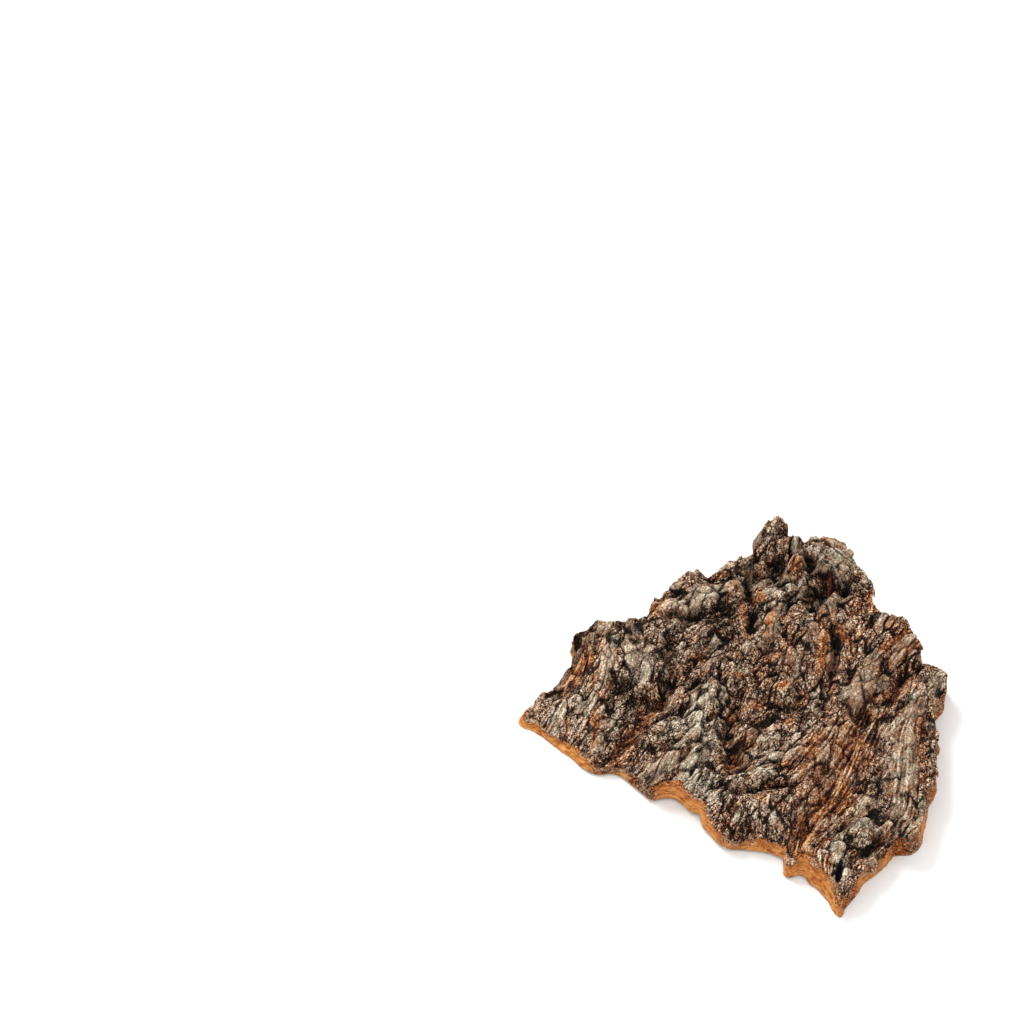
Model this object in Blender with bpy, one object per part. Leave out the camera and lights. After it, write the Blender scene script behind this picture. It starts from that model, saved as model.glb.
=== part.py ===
"""Cork bark slab: one torn flat of virgin cork oak bark, lying bark side up.

Blender works in metres here, and the sizes below are in millimetres times MM. +Z is up.
The slab is one solid. Its underside is the smooth inner face, arched across the grain and flat
only where it touches the ground. Its rim is the torn cork layer. Its top is a height field:
a bed of cork, broad swells, raised bark plates and knobs, furrows, hollows and a crack network.
"""

import math
from typing import NamedTuple

import bmesh
import bpy
from mathutils import Vector, kdtree, noise
from mathutils.geometry import delaunay_2d_cdt

MM = 0.001

# Driving dimensions
BED_THICKNESS = 10.0
LEAST_THICKNESS = 4.0
RIM_REACH = 9.0
GRAIN_ANGLE = 70.0
ARCH_RISE = 3.0
CROWN_RISE = 7.0
ARCH_HALF_WIDTH = 118.0
ARCH_CENTRE = 1.0
ARCH_CONTACT = 1.0
CROWN_CONTACT = 1.3
UNDERSIDE_WAVE = 0.5
UNDERSIDE_WAVE_LENGTH = 26.0

# Mesh spacing: the bark face is fine, and the inner face is coarse
RIM_STEP = 3.3
BARK_STEP = 3.25
UNDERSIDE_STEP = 10.0
RIM_CLEARANCE = 0.62
RIM_ROWS = 3
EDGE_PULL = 1.2
EDGE_TOP = 0.84
EDGE_FOOT = 1.12
STEEP_HEIGHT = 2.4

# The torn rim
RIM_RAGGEDNESS = 0.8
RIM_RAGGED_LENGTH = 9.0
CRUST_INSET = 0.010
CRUST_DRIFT = 2.2
CRUST_DRIFT_LENGTH = 30.0
RIM_HOLLOW = 1.3

# The bark's own texture
CRACK_CELL = 15.0
CRACK_STRETCH = 1.8
CRACK_WIDTH = 0.16
CRACK_DEPTH = 1.5
CELL_STEP = 1.2
FIBRE_SPACING = 8.0
FIBRE_STRETCH = 4.0
FIBRE_HEIGHT = 1.0
LUMP_LENGTH = 16.0
LUMP_HEIGHT = 1.1
WANDER_LENGTH = 13.0
WANDER = 1.5

BARK_COLOUR = (0.21, 0.15, 0.11, 1.0)
BARK_ROUGHNESS = 0.92

# The plan outline, anticlockwise from the left tip: x, y, the bark's height there and, where the torn
# cork shows under the bark, how far it spreads out below it, in millimetres
LEFT_TIP = (-125, 5, 6, 1)
NEAR_LEFT_EDGE = [
    (-122, 1, 6, 2), (-117, -1, 6, 2), (-110, -8, 7, 1), (-101, -16, 7, 1), (-92, -23, 8, 2),
    (-87, -29, 9, 1.5), (-80, -33, 7, 1.5), (-71, -33, 6, 1.5), (-66, -35, 7, 1.5), (-60, -41, 9, 1),
    (-55, -46, 11, 1), (-49, -52, 13, 1), (-44, -51, 15, 0.5), (-37, -51, 17, 0.5), (-31, -55, 17, 1),
    (-26, -60, 17, 1), (-22, -62, 16, 1), (-19, -70, 15, 2), (-16, -75, 14, 1), (-12, -81, 12, 1),
    (-5, -85, 10, 1), (6, -85, 9, 1), (15, -85, 10, 2.5), (22, -88, 11, 2.5), (25, -92, 12, 1),
    (25, -102, 11, 1), (29, -102, 13, 2), (34, -100, 16, 3), (38, -102, 16, 4.5), (42, -106, 17, 4.5),
    (46, -111, 17, 3.5), (50, -118, 16, 3), (52, -124, 14, 2),
]
LOWEST_SPIKE = [(53, -130, 10), (56, -130, 10)]
NEAR_RIGHT_EDGE = [
    (58, -124, 13), (61, -118, 15, 1), (65, -112, 15, 1.5), (69, -107, 15, 1), (77, -101, 13),
    (82, -96, 13), (86, -91, 14), (90, -89, 17), (96, -89, 19), (101, -85, 20), (104, -80, 20),
]
RIGHT_EDGE = [
    (105, -72, 20), (108, -64, 20), (110, -56, 20), (113, -49, 20), (115, -37, 20), (115, -23, 20),
    (118, -17, 17), (116, -6, 20), (115, 1, 20), (119, 7, 19), (122, 11, 19), (124, 21, 19),
    (125, 27, 19), (122, 29, 18), (117, 32, 19), (110, 34, 22), (112, 41, 23), (108, 49, 23),
    (103, 60, 25), (98, 65, 24), (90, 69, 22), (83, 77, 21), (85, 85, 26), (81, 91, 28),
]
FAR_KNOBS_EDGE = [
    (74, 99, 30), (72, 109, 31), (67, 113, 31), (60, 115, 31), (53, 118, 30), (46, 116, 26),
    (43, 120, 29), (39, 120, 29), (36, 121, 27), (35, 128, 33), (29, 130, 35), (23, 126, 33),
    (16, 117, 29), (13, 110, 27),
]
FAR_LEFT_EDGE = [
    (3, 106, 25), (-6, 99, 23), (-12, 95, 20), (-16, 96, 24), (-22, 96, 26), (-29, 92, 26),
    (-36, 84, 25), (-41, 77, 23), (-46, 77, 23), (-50, 69, 20), (-54, 66, 18), (-57, 66, 19),
    (-67, 64, 19), (-77, 63, 19), (-84, 61, 18), (-92, 57, 17), (-95, 54, 15),
]
LEFT_EDGE = [
    (-94, 50, 12), (-95, 44, 8), (-99, 35, 6), (-104, 27, 6), (-111, 21, 6), (-118, 14, 6), (-123, 9, 6),
]
OUTLINE = [
    LEFT_TIP, *NEAR_LEFT_EDGE, *LOWEST_SPIKE, *NEAR_RIGHT_EDGE, *RIGHT_EDGE,
    *FAR_KNOBS_EDGE, *FAR_LEFT_EDGE, *LEFT_EDGE,
]
NO_SPREAD = 0


class Mound(NamedTuple):
    """A raised form: its centre, its size along and across its own axis, that axis's angle, its height."""

    x: float
    y: float
    length: float
    width: float
    angle: float
    height: float


class Furrow(NamedTuple):
    """A groove along a line of points: its width at half depth, and its depth."""

    points: list
    width: float
    depth: float


SWELLS = {
    "left_field": Mound(-90, 2, 90, 40, 62, 4.0),
    "left_block": Mound(-62, 38, 66, 44, 80, 6.0),
    "central_plateau": Mound(-26, -20, 84, 34, 66, 7.0),
    "upper_shoulder": Mound(-18, 86, 72, 30, 20, 7.0),
    "far_knobs": Mound(46, 108, 74, 44, 165, 13.0),
    "upper_field": Mound(90, 52, 56, 38, 140, 8.5),
    "middle_field": Mound(34, 38, 60, 34, 62, 3.5),
    "ridge_field": Mound(40, -30, 80, 26, 62, 5.0),
    "near_block": Mound(14, -72, 44, 36, 0, 6.0),
    "right_band": Mound(100, -30, 130, 30, 84, 9.0),
    "right_corner": Mound(115, 14, 44, 26, 75, 4.0),
    "low_ridge": Mound(60, -92, 64, 34, 44, 6.5),
}
PLATES = {
    "left_crest": Mound(-80, 10, 80, 9, 86, 3.0),
    "left_ring": Mound(-97, 6, 22, 16, 40, 1.6),
    "left_block_cap": Mound(-55, 37, 48, 30, 88, 4.2),
    "left_grey_plate": Mound(-72, 40, 34, 10, 82, 2.2),
    "tongue": Mound(-42, -38, 32, 11, 48, 3.0),
    "near_tongue": Mound(-25, -40, 44, 14, 56, 3.2),
    "rough_shelf": Mound(-42, -15, 34, 16, 22, 3.0),
    "central_plate": Mound(-20, 4, 38, 14, 72, 3.6),
    "central_crest": Mound(-12, -8, 58, 6, 92, 3.6),
    "long_plate": Mound(-18, 80, 56, 12, 19, 4.6),
    "back_plate": Mound(-24, 90, 30, 11, 28, 3.2),
    "small_plate": Mound(8, 101, 26, 8, 12, 4.5),
    "upper_grey_plate": Mound(24, 83, 30, 15, 26, 4.0),
    "crest_beside_crack": Mound(21, 62, 24, 10, 74, 3.2),
    "tall_knob": Mound(29, 119, 23, 17, 75, 8.0),
    "neighbour_knob": Mound(43, 116, 9, 8, 0, 3.5),
    "dark_knob": Mound(55, 112, 17, 13, 160, 4.0),
    "grey_boulder": Mound(65, 99, 22, 20, 150, 7.0),
    "orange_boulder": Mound(39, 97, 12, 11, 60, 5.5),
    "brown_lobe": Mound(77, 83, 18, 17, 60, 4.5),
    "curved_plate": Mound(54, 43, 36, 8, 78, 4.0),
    "streak": Mound(66, 53, 26, 6, 112, 2.8),
    "far_ridge": Mound(97, 42, 32, 9, 38, 4.2),
    "grey_ridge": Mound(74, 18, 38, 14, 58, 4.6),
    "corner_plate": Mound(117, 17, 32, 12, 78, 2.4),
    "round_knob": Mound(27, 12, 13, 12, 0, 5.5),
    "small_knob": Mound(2, 24, 17, 7, 10, 3.4),
    "lump_beside_knob": Mound(12, 14, 13, 11, 0, 2.6),
    "brown_lumps": Mound(18, -12, 26, 18, 60, 3.0),
    "lavender_slope": Mound(22, -34, 38, 13, 38, 2.4),
    "cream_lip": Mound(8, -47, 38, 7, 8, 3.0),
    "block_lump": Mound(-10, -63, 17, 14, 0, 3.4),
    "block_top": Mound(16, -72, 34, 28, 0, 3.4),
    "grain_ridge": Mound(50, -22, 52, 9, 62, 2.8),
    "second_grain_ridge": Mound(38, -55, 44, 8, 60, 2.2),
    "right_plate": Mound(93, -42, 84, 20, 86, 3.0),
    "right_upper_plate": Mound(106, 2, 30, 15, 78, 2.4),
    "low_plate": Mound(60, -88, 46, 12, 38, 4.0),
    "knot": Mound(56, -111, 20, 17, 60, 3.5),
    "dark_block": Mound(91, -84, 17, 15, 20, 4.5),
}
FURROWS = {
    "trough": Furrow([(4, 66), (-18, 46), (-34, 24), (-50, 3), (-66, -22), (-70, -40)], 11, 5.5),
    "block_step": Furrow([(-36, 58), (-36, 24), (-44, 8)], 5, 4.0),
    "central_trough": Furrow([(0, 14), (-3, -12), (-2, -40)], 8, 5.0),
    "deep_crack": Furrow([(8, 93), (12, 80), (11, 58)], 3.2, 7.0),
    "under_long_plate": Furrow([(-40, 68), (-20, 70), (2, 72)], 3.4, 3.6),
    "under_small_plate": Furrow([(-8, 93), (8, 94), (20, 98)], 3.0, 4.5),
    "knob_gap": Furrow([(38, 124), (36, 112), (28, 104)], 3.6, 5.0),
    "curved_crack": Furrow([(60, 60), (61, 42), (57, 22), (50, 4)], 3.0, 4.0),
    "tongue_crack": Furrow([(-52, -50), (-38, -41), (-28, -30), (-19, -21)], 2.8, 3.6),
    "knob_crack": Furrow([(28, 3), (38, 4), (38, -13)], 2.8, 3.5),
    "lip_crack": Furrow([(-2, -54), (12, -53), (28, -52)], 3.0, 4.5),
    "fibre_valley": Furrow([(76, -6), (66, -35), (52, -62), (38, -86), (30, -96)], 12, 3.2),
    "ridge_shadow": Furrow([(112, 33), (102, 24), (92, 10), (82, 3)], 4.5, 4.5),
    "band_crack": Furrow([(82, -14), (81, -42), (84, -66)], 3.0, 2.6),
    "low_plate_crack": Furrow([(44, -84), (58, -78), (74, -64)], 2.8, 2.6),
    "spike_crack": Furrow([(62, -103), (70, -96), (80, -84)], 4.2, 4.8),
    "crest_groove": Furrow([(-73, -16), (-71, 10), (-70, 26)], 3.2, 2.2),
    "left_groove": Furrow([(-88, 48), (-90, 26), (-86, 6)], 3.4, 1.8),
}
HOLLOWS = {
    "shelf_hollow": Mound(-36, 0, 24, 9, 8, -5.0),
    "black_hole": Mound(-22, 19, 13, 9, 10, -4.5),
    "knob_pit": Mound(51, 82, 22, 15, 60, -8.0),
    "boulder_pit": Mound(68, 86, 13, 8, 170, -5.5),
    "back_pit": Mound(48, 101, 12, 9, 80, -5.0),
    "dark_slope": Mound(27, 102, 17, 9, 150, -3.5),
    "valley_head": Mound(73, 0, 17, 10, 165, -4.5),
    "near_pit": Mound(80, -88, 15, 12, 40, -5.0),
    "knot_eye": Mound(55, -111, 8, 6, 60, -4.0),
    "red_pit": Mound(-2, -37, 15, 10, 70, -2.5),
}


def smooth_step(low, high, value):
    """0 below low, 1 above high, and an even S between them."""
    share = min(max((value - low) / (high - low), 0.0), 1.0)
    return share * share * (3 - 2 * share)


def layered_noise(x, y, length, layer):
    """Three octaves of smooth noise, about -1 to 1, whose longest wave is length. Each layer differs."""
    return noise.fractal(Vector((x / length, y / length, 7.3 * layer)), 1.0, 2.0, 3)


def along_and_across(x, y, angle):
    """The point's coordinates along and across a direction in the plan."""
    turn = math.radians(angle)
    return x * math.cos(turn) + y * math.sin(turn), y * math.cos(turn) - x * math.sin(turn)


def distance_to_line(x, y, points):
    """The distance from a point of the plan to a line of points."""
    nearest = math.inf
    for (ax, ay), (bx, by) in zip(points, points[1:]):
        dx, dy = bx - ax, by - ay
        share = ((x - ax) * dx + (y - ay) * dy) / (dx * dx + dy * dy)
        share = min(max(share, 0.0), 1.0)
        nearest = min(nearest, math.hypot(x - ax - share * dx, y - ay - share * dy))
    return nearest


def mound_reach(x, y, mound, power):
    """How far out in the mound the point is: 0 at its centre and 1 at its edge."""
    along, across = along_and_across(x - mound.x, y - mound.y, mound.angle)
    return (abs(2 * along / mound.length) ** power + abs(2 * across / mound.width) ** power) ** (1 / power)


def swell_height(x, y, mound):
    """A broad rounded rise."""
    return mound.height * math.exp(-1.4 * mound_reach(x, y, mound, 2) ** 2)


def plate_height(x, y, mound):
    """A flat-topped plate with steep sides, or a hollow where its height is negative."""
    return mound.height * (1 - smooth_step(EDGE_TOP, EDGE_FOOT, mound_reach(x, y, mound, 2.6)))


def furrow_depth(x, y, furrow):
    """A rounded groove."""
    return furrow.depth * math.exp(-0.7 * (2 * distance_to_line(x, y, furrow.points) / furrow.width) ** 2)


def wandered(x, y):
    """The point moved a little by noise, so that no form keeps an even outline."""
    east = x + WANDER * layered_noise(x, y, WANDER_LENGTH, 2)
    north = y + WANDER * layered_noise(x, y, WANDER_LENGTH, 3)
    return east, north


def crack_relief(x, y):
    """Bark cells stretched along the grain: each stands at its own height, with a crack round it."""
    along, across = along_and_across(x, y, GRAIN_ANGLE - 8)
    spot = Vector((along / (CRACK_CELL * CRACK_STRETCH), across / CRACK_CELL, 0.0))
    distances, centres = noise.voronoi(spot, distance_metric="DISTANCE")
    gap = distances[1] - distances[0]
    own_height = CELL_STEP * noise.noise(centres[0] * 3.7)
    return own_height - CRACK_DEPTH * (1 - smooth_step(0.0, CRACK_WIDTH, gap))


def fibre_relief(x, y):
    """Long low ribs that run with the grain."""
    along, across = along_and_across(x, y, GRAIN_ANGLE)
    spot = Vector((along / (FIBRE_SPACING * FIBRE_STRETCH), across / FIBRE_SPACING, 3.1))
    return FIBRE_HEIGHT * (0.5 - 2 * abs(noise.noise(spot)))


def arch(x, y, rise, contact):
    """An arch across the grain, lowered by contact so that its feet lie flat on the ground."""
    _, across = along_and_across(x, y, GRAIN_ANGLE)
    share = (-across - ARCH_CENTRE) / ARCH_HALF_WIDTH
    wave = UNDERSIDE_WAVE * layered_noise(x, y, UNDERSIDE_WAVE_LENGTH, 1)
    return max(rise * (1 - share * share) - contact + wave, 0.0)


def underside_height(x, y):
    """The inner face: a low arch, flat on the ground where it comes down to it."""
    return arch(x, y, ARCH_RISE, ARCH_CONTACT)


def broad_height(x, y):
    """The swells, plates, hollows and furrows above the ground."""
    height = BED_THICKNESS + arch(x, y, CROWN_RISE, CROWN_CONTACT)
    height += sum(swell_height(x, y, mound) for mound in SWELLS.values())
    height += sum(plate_height(x, y, mound) for mound in PLATES.values())
    height += sum(plate_height(x, y, mound) for mound in HOLLOWS.values())
    return height - sum(furrow_depth(x, y, furrow) for furrow in FURROWS.values())


def bark_height(x, y, rim):
    """The top of the bark above the ground. Close to the rim it comes to the rim's own height."""
    east, north = wandered(x, y)
    _, nearest, distance = rim.tree.find((x, y, 0.0))
    at_rim = math.exp(-((distance / RIM_REACH) ** 2))
    height = (1 - at_rim) * broad_height(east, north) + at_rim * rim.heights[nearest]
    height += crack_relief(east, north) + fibre_relief(east, north)
    height += LUMP_HEIGHT * layered_noise(x, y, LUMP_LENGTH, 4)
    return max(height, underside_height(x, y) + LEAST_THICKNESS)


def curve_through(points, step):
    """A closed smooth curve through the points, cut to even steps."""
    fine = []
    count = len(points)
    for i in range(count):
        before, here, there, after = (Vector(points[(i + k) % count]) for k in (-1, 0, 1, 2))
        for k in range(8):
            t = k / 8
            fine.append(
                0.5 * (2 * here + (there - before) * t + (2 * before - 5 * here + 4 * there - after) * t * t
                       + (3 * here - before - 3 * there + after) * t ** 3)
            )
    lengths = [(fine[(i + 1) % len(fine)] - fine[i]).xy.length for i in range(len(fine))]
    pieces = round(sum(lengths) / step)
    even, walked, i = [], 0.0, 0
    for k in range(pieces):
        target = sum(lengths) * k / pieces
        while walked + lengths[i] < target:
            walked += lengths[i]
            i += 1
        even.append(fine[i].lerp(fine[(i + 1) % len(fine)], (target - walked) / lengths[i]))
    return even


class Rim:
    """The ring of points round the inner face, torn a little in and out, and the bark's height at each."""

    def __init__(self):
        ring = curve_through([(*place, NO_SPREAD)[:4] for place in OUTLINE], RIM_STEP)
        self.heights = [point.z for point in ring]
        self.spreads = [point.w for point in ring]
        self.points = []
        for i, point in enumerate(ring):
            run = ring[(i + 1) % len(ring)].xy - ring[i - 1].xy
            outward = Vector((run.y, -run.x)).normalized()
            tear = RIM_RAGGEDNESS * layered_noise(point.x, point.y, RIM_RAGGED_LENGTH, 5)
            self.points.append(point.xy + tear * outward)
        self.tree = kdtree.KDTree(len(ring))
        for i, point in enumerate(self.points):
            self.tree.insert((point.x, point.y, 0.0), i)
        self.tree.balance()

    def outward(self, i, reach=1):
        """The outward direction at a point of the ring, from the neighbours within reach."""
        run = self.points[(i + reach) % len(self.points)] - self.points[i - reach]
        return Vector((run.y, -run.x)).normalized()

    def holds(self, x, y):
        """Whether a point of the plan lies inside, clear of the ring's own points."""
        if self.tree.find((x, y, 0.0))[2] < RIM_CLEARANCE * RIM_STEP:
            return False
        crossings = 0
        for a, b in zip(self.points, self.points[1:] + self.points[:1]):
            if (a.y > y) != (b.y > y):
                crossings += x < a.x + (y - a.y) / (b.y - a.y) * (b.x - a.x)
        return crossings % 2 == 1


def crust_shift(x, y):
    """How far the bark face lies sideways from the inner face under it."""
    drift_east = CRUST_DRIFT * layered_noise(x, y, CRUST_DRIFT_LENGTH, 6)
    drift_north = CRUST_DRIFT * layered_noise(x, y, CRUST_DRIFT_LENGTH, 7)
    return Vector((drift_east - CRUST_INSET * x, drift_north - CRUST_INSET * y))


def pulled_to_edges(x, y):
    """Moves a point off a steep plate's flank, to its top edge or its foot, to keep the step sharp."""
    east, north = wandered(x, y)
    for mound in [*PLATES.values(), *HOLLOWS.values()]:
        reach = mound_reach(east, north, mound, 2.6)
        if abs(mound.height) > STEEP_HEIGHT and EDGE_TOP - 0.12 < reach < EDGE_FOOT + 0.14:
            slope_x = (mound_reach(east + 0.1, north, mound, 2.6) - reach) / 0.1
            slope_y = (mound_reach(east, north + 0.1, mound, 2.6) - reach) / 0.1
            slope = math.hypot(slope_x, slope_y)
            goal = EDGE_TOP if reach < (EDGE_TOP + EDGE_FOOT) / 2 else EDGE_FOOT
            move = min(max((goal - reach) / slope, -EDGE_PULL), EDGE_PULL)
            return x + move * slope_x / slope, y + move * slope_y / slope
    return x, y


def points_inside(rim, step, wobble):
    """Staggered rows of points inside the rim, each moved a little from its place."""
    row_gap = step * math.sqrt(3) / 2
    low_x, high_x = min(p.x for p in rim.points), max(p.x for p in rim.points)
    low_y, high_y = min(p.y for p in rim.points), max(p.y for p in rim.points)
    found = []
    for row in range(int((high_y - low_y) / row_gap) + 1):
        for column in range(int((high_x - low_x) / step) + 1):
            x = low_x + step * (column + 0.5 * (row % 2))
            y = low_y + row_gap * row
            x += wobble * step * layered_noise(x, y, 2.0, 11)
            y += wobble * step * layered_noise(x, y, 2.0, 12)
            if step == BARK_STEP:
                x, y = pulled_to_edges(x, y)
            if rim.holds(x, y):
                found.append(Vector((x, y)))
    return found


def triangles_over(rim, filling):
    """The triangles that cover the plan inside the rim, over the rim's points and then the filling's."""
    count = len(rim.points)
    edges = [(i, (i + 1) % count) for i in range(count)]
    made = delaunay_2d_cdt(rim.points + filling, edges, [list(range(count))], 1, 1e-5)
    points, triangles, sources = made[0], made[2], made[3]
    assert len(points) == count + len(filling), "the plan's triangulation added or merged points"
    order = [source[0] for source in sources]
    return [[order[i] for i in triangle] for triangle in triangles]


def to_world(plan_point, height):
    """A plan point and a height in millimetres as a place in metres."""
    return Vector((plan_point.x, plan_point.y, height)) * MM


def add_bark_face(mesh, rim, top_ring):
    """The bark face, whose border is top_ring."""
    filling = points_inside(rim, BARK_STEP, 0.3)
    inner = [
        mesh.verts.new(to_world(p + crust_shift(p.x, p.y), bark_height(p.x, p.y, rim))) for p in filling
    ]
    corners = top_ring + inner
    for triangle in triangles_over(rim, filling):
        mesh.faces.new([corners[i] for i in triangle])


def add_inner_face(mesh, rim, bottom_ring):
    """The smooth inner face, whose border is bottom_ring."""
    filling = points_inside(rim, UNDERSIDE_STEP, 0.1)
    inner = [mesh.verts.new(to_world(p, underside_height(p.x, p.y))) for p in filling]
    corners = bottom_ring + inner
    for triangle in triangles_over(rim, filling):
        mesh.faces.new([corners[i] for i in reversed(triangle)])


def add_torn_rim(mesh, rim):
    """The rim's rows of points, from the inner face's ring to the bark face's, joined by faces."""
    rings = []
    for row in range(RIM_ROWS + 1):
        share = row / RIM_ROWS
        ring = []
        for i, point in enumerate(rim.points):
            low, high = underside_height(point.x, point.y), bark_height(point.x, point.y, rim)
            depth = RIM_HOLLOW * (0.6 + layered_noise(point.x, point.y, 14.0, 8 + row))
            place = point + share * crust_shift(point.x, point.y)
            place -= depth * math.sin(math.pi * share) * rim.outward(i)
            place += rim.spreads[i] * (1 - share) ** 1.5 * rim.outward(i, 3)
            ring.append(mesh.verts.new(to_world(place, low + share * (high - low))))
        rings.append(ring)
    for lower, upper in zip(rings, rings[1:]):
        for i in range(len(rim.points)):
            k = (i + 1) % len(rim.points)
            mesh.faces.new([lower[i], lower[k], upper[k], upper[i]])
    return rings[0], rings[-1]


def centre_on_ground(mesh):
    """Moves the slab so that the origin is at the bottom centre of its box."""
    middle = Vector((0.0, 0.0, min(v.co.z for v in mesh.verts)))
    for axis in (0, 1):
        places = [v.co[axis] for v in mesh.verts]
        middle[axis] = (min(places) + max(places)) / 2
    bmesh.ops.translate(mesh, verts=mesh.verts, vec=-middle)


def bark_material():
    """Dark weathered bark."""
    material = bpy.data.materials.new("weathered_bark")
    material.use_nodes = True
    surface = material.node_tree.nodes["Principled BSDF"]
    surface.inputs["Base Color"].default_value = BARK_COLOUR
    surface.inputs["Roughness"].default_value = BARK_ROUGHNESS
    surface.inputs["Metallic"].default_value = 0.0
    return material


def cork_bark_slab():
    """The whole slab as one closed solid."""
    rim = Rim()
    mesh = bmesh.new()
    bottom_ring, top_ring = add_torn_rim(mesh, rim)
    add_bark_face(mesh, rim, top_ring)
    add_inner_face(mesh, rim, bottom_ring)
    bmesh.ops.triangulate(mesh, faces=mesh.faces)
    centre_on_ground(mesh)
    data = bpy.data.meshes.new("cork_bark_slab")
    mesh.to_mesh(data)
    mesh.free()
    slab = bpy.data.objects.new("cork_bark_slab", data)
    bpy.context.scene.collection.objects.link(slab)
    data.materials.append(bark_material())
    return slab


def main():
    """Clears the scene and models the slab."""
    for old in list(bpy.data.objects):
        bpy.data.objects.remove(old)
    cork_bark_slab()


main()
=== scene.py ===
"""Looks of the cork bark slab: the furrowed crust, and the cork body with its torn rim and inner face.

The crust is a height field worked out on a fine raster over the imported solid. Bark plates, granules and
fibres follow the grain, which turns from place to place. The crust is cut along its own cracks into
pieces that lie edge to edge on the cork body. Lengths are in millimetres until a mesh is made.
"""

import logging
import math
from dataclasses import dataclass, field
from enum import Enum
from itertools import product
from typing import Any, Optional, Sequence, Union

import bmesh
import bpy
import numpy as np
from mathutils import Matrix, Vector
from mathutils.bvhtree import BVHTree
from mathutils.geometry import delaunay_2d_cdt


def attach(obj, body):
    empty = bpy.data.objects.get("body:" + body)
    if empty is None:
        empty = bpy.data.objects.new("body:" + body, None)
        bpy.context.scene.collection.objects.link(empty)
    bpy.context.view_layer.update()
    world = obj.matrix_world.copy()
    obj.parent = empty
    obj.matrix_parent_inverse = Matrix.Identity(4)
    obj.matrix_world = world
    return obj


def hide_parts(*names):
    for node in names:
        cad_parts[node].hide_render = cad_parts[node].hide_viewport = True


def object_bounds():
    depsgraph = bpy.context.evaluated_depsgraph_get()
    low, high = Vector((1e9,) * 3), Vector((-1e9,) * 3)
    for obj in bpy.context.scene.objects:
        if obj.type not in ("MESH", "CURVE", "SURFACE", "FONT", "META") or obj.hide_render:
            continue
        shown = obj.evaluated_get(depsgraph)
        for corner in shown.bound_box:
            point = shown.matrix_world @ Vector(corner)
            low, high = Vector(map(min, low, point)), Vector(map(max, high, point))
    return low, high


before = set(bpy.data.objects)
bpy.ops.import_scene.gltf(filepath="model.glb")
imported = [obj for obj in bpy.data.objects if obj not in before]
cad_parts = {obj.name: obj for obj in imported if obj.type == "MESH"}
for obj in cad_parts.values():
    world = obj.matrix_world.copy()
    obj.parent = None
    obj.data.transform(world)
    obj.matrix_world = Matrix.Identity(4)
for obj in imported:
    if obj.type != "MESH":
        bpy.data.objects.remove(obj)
CAD_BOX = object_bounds()

NODE = "cork_bark_slab"
BODY = "root"
MM = 0.001
# Rows of faces on the solid's torn rim
RIM_ROWS = 3
# The angle of the bark's main grain from +X, in degrees
MAIN_GRAIN = 66.0
# How far above and below the solid its faces are looked for from, in metres
LOOK_FROM = 1.0
# The depth up to which the distance from the outline is exact, in millimetres
KNOWN_DEPTH = 9.0
# More than any place's distance from its nearest seed, in cell sizes
FAR = 9.0
# How many places the noise draws from, a power of 2
DRAWS = 512
# Smooth points made between two points of a ring where a curve is cut to even steps
CURVE_POINTS = 8

log = logging.getLogger("cork_bark")

Array = np.ndarray
Colour = tuple[float, float, float]
Stops = tuple[tuple[float, Colour], ...]


# Numbers over the plan

@dataclass(frozen=True)
class Ellipse:
    """A soft patch of the plan: its centre, its size along and across its own axis, and that axis's angle."""

    x: float
    y: float
    length: float
    width: float
    angle: float
    strength: float = 1.0


def ellipses(*rows: tuple[float, ...]) -> tuple[Ellipse, ...]:
    """Soft patches from rows of numbers in the order of their fields."""
    return tuple(Ellipse(*row) for row in rows)


def smooth_step(low: float, high: float, value: Array) -> Array:
    """An even S from 0 at low to 1 at high."""
    share = np.clip((value - low) / (high - low), 0.0, 1.0)
    return share * share * (3 - 2 * share)


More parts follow.
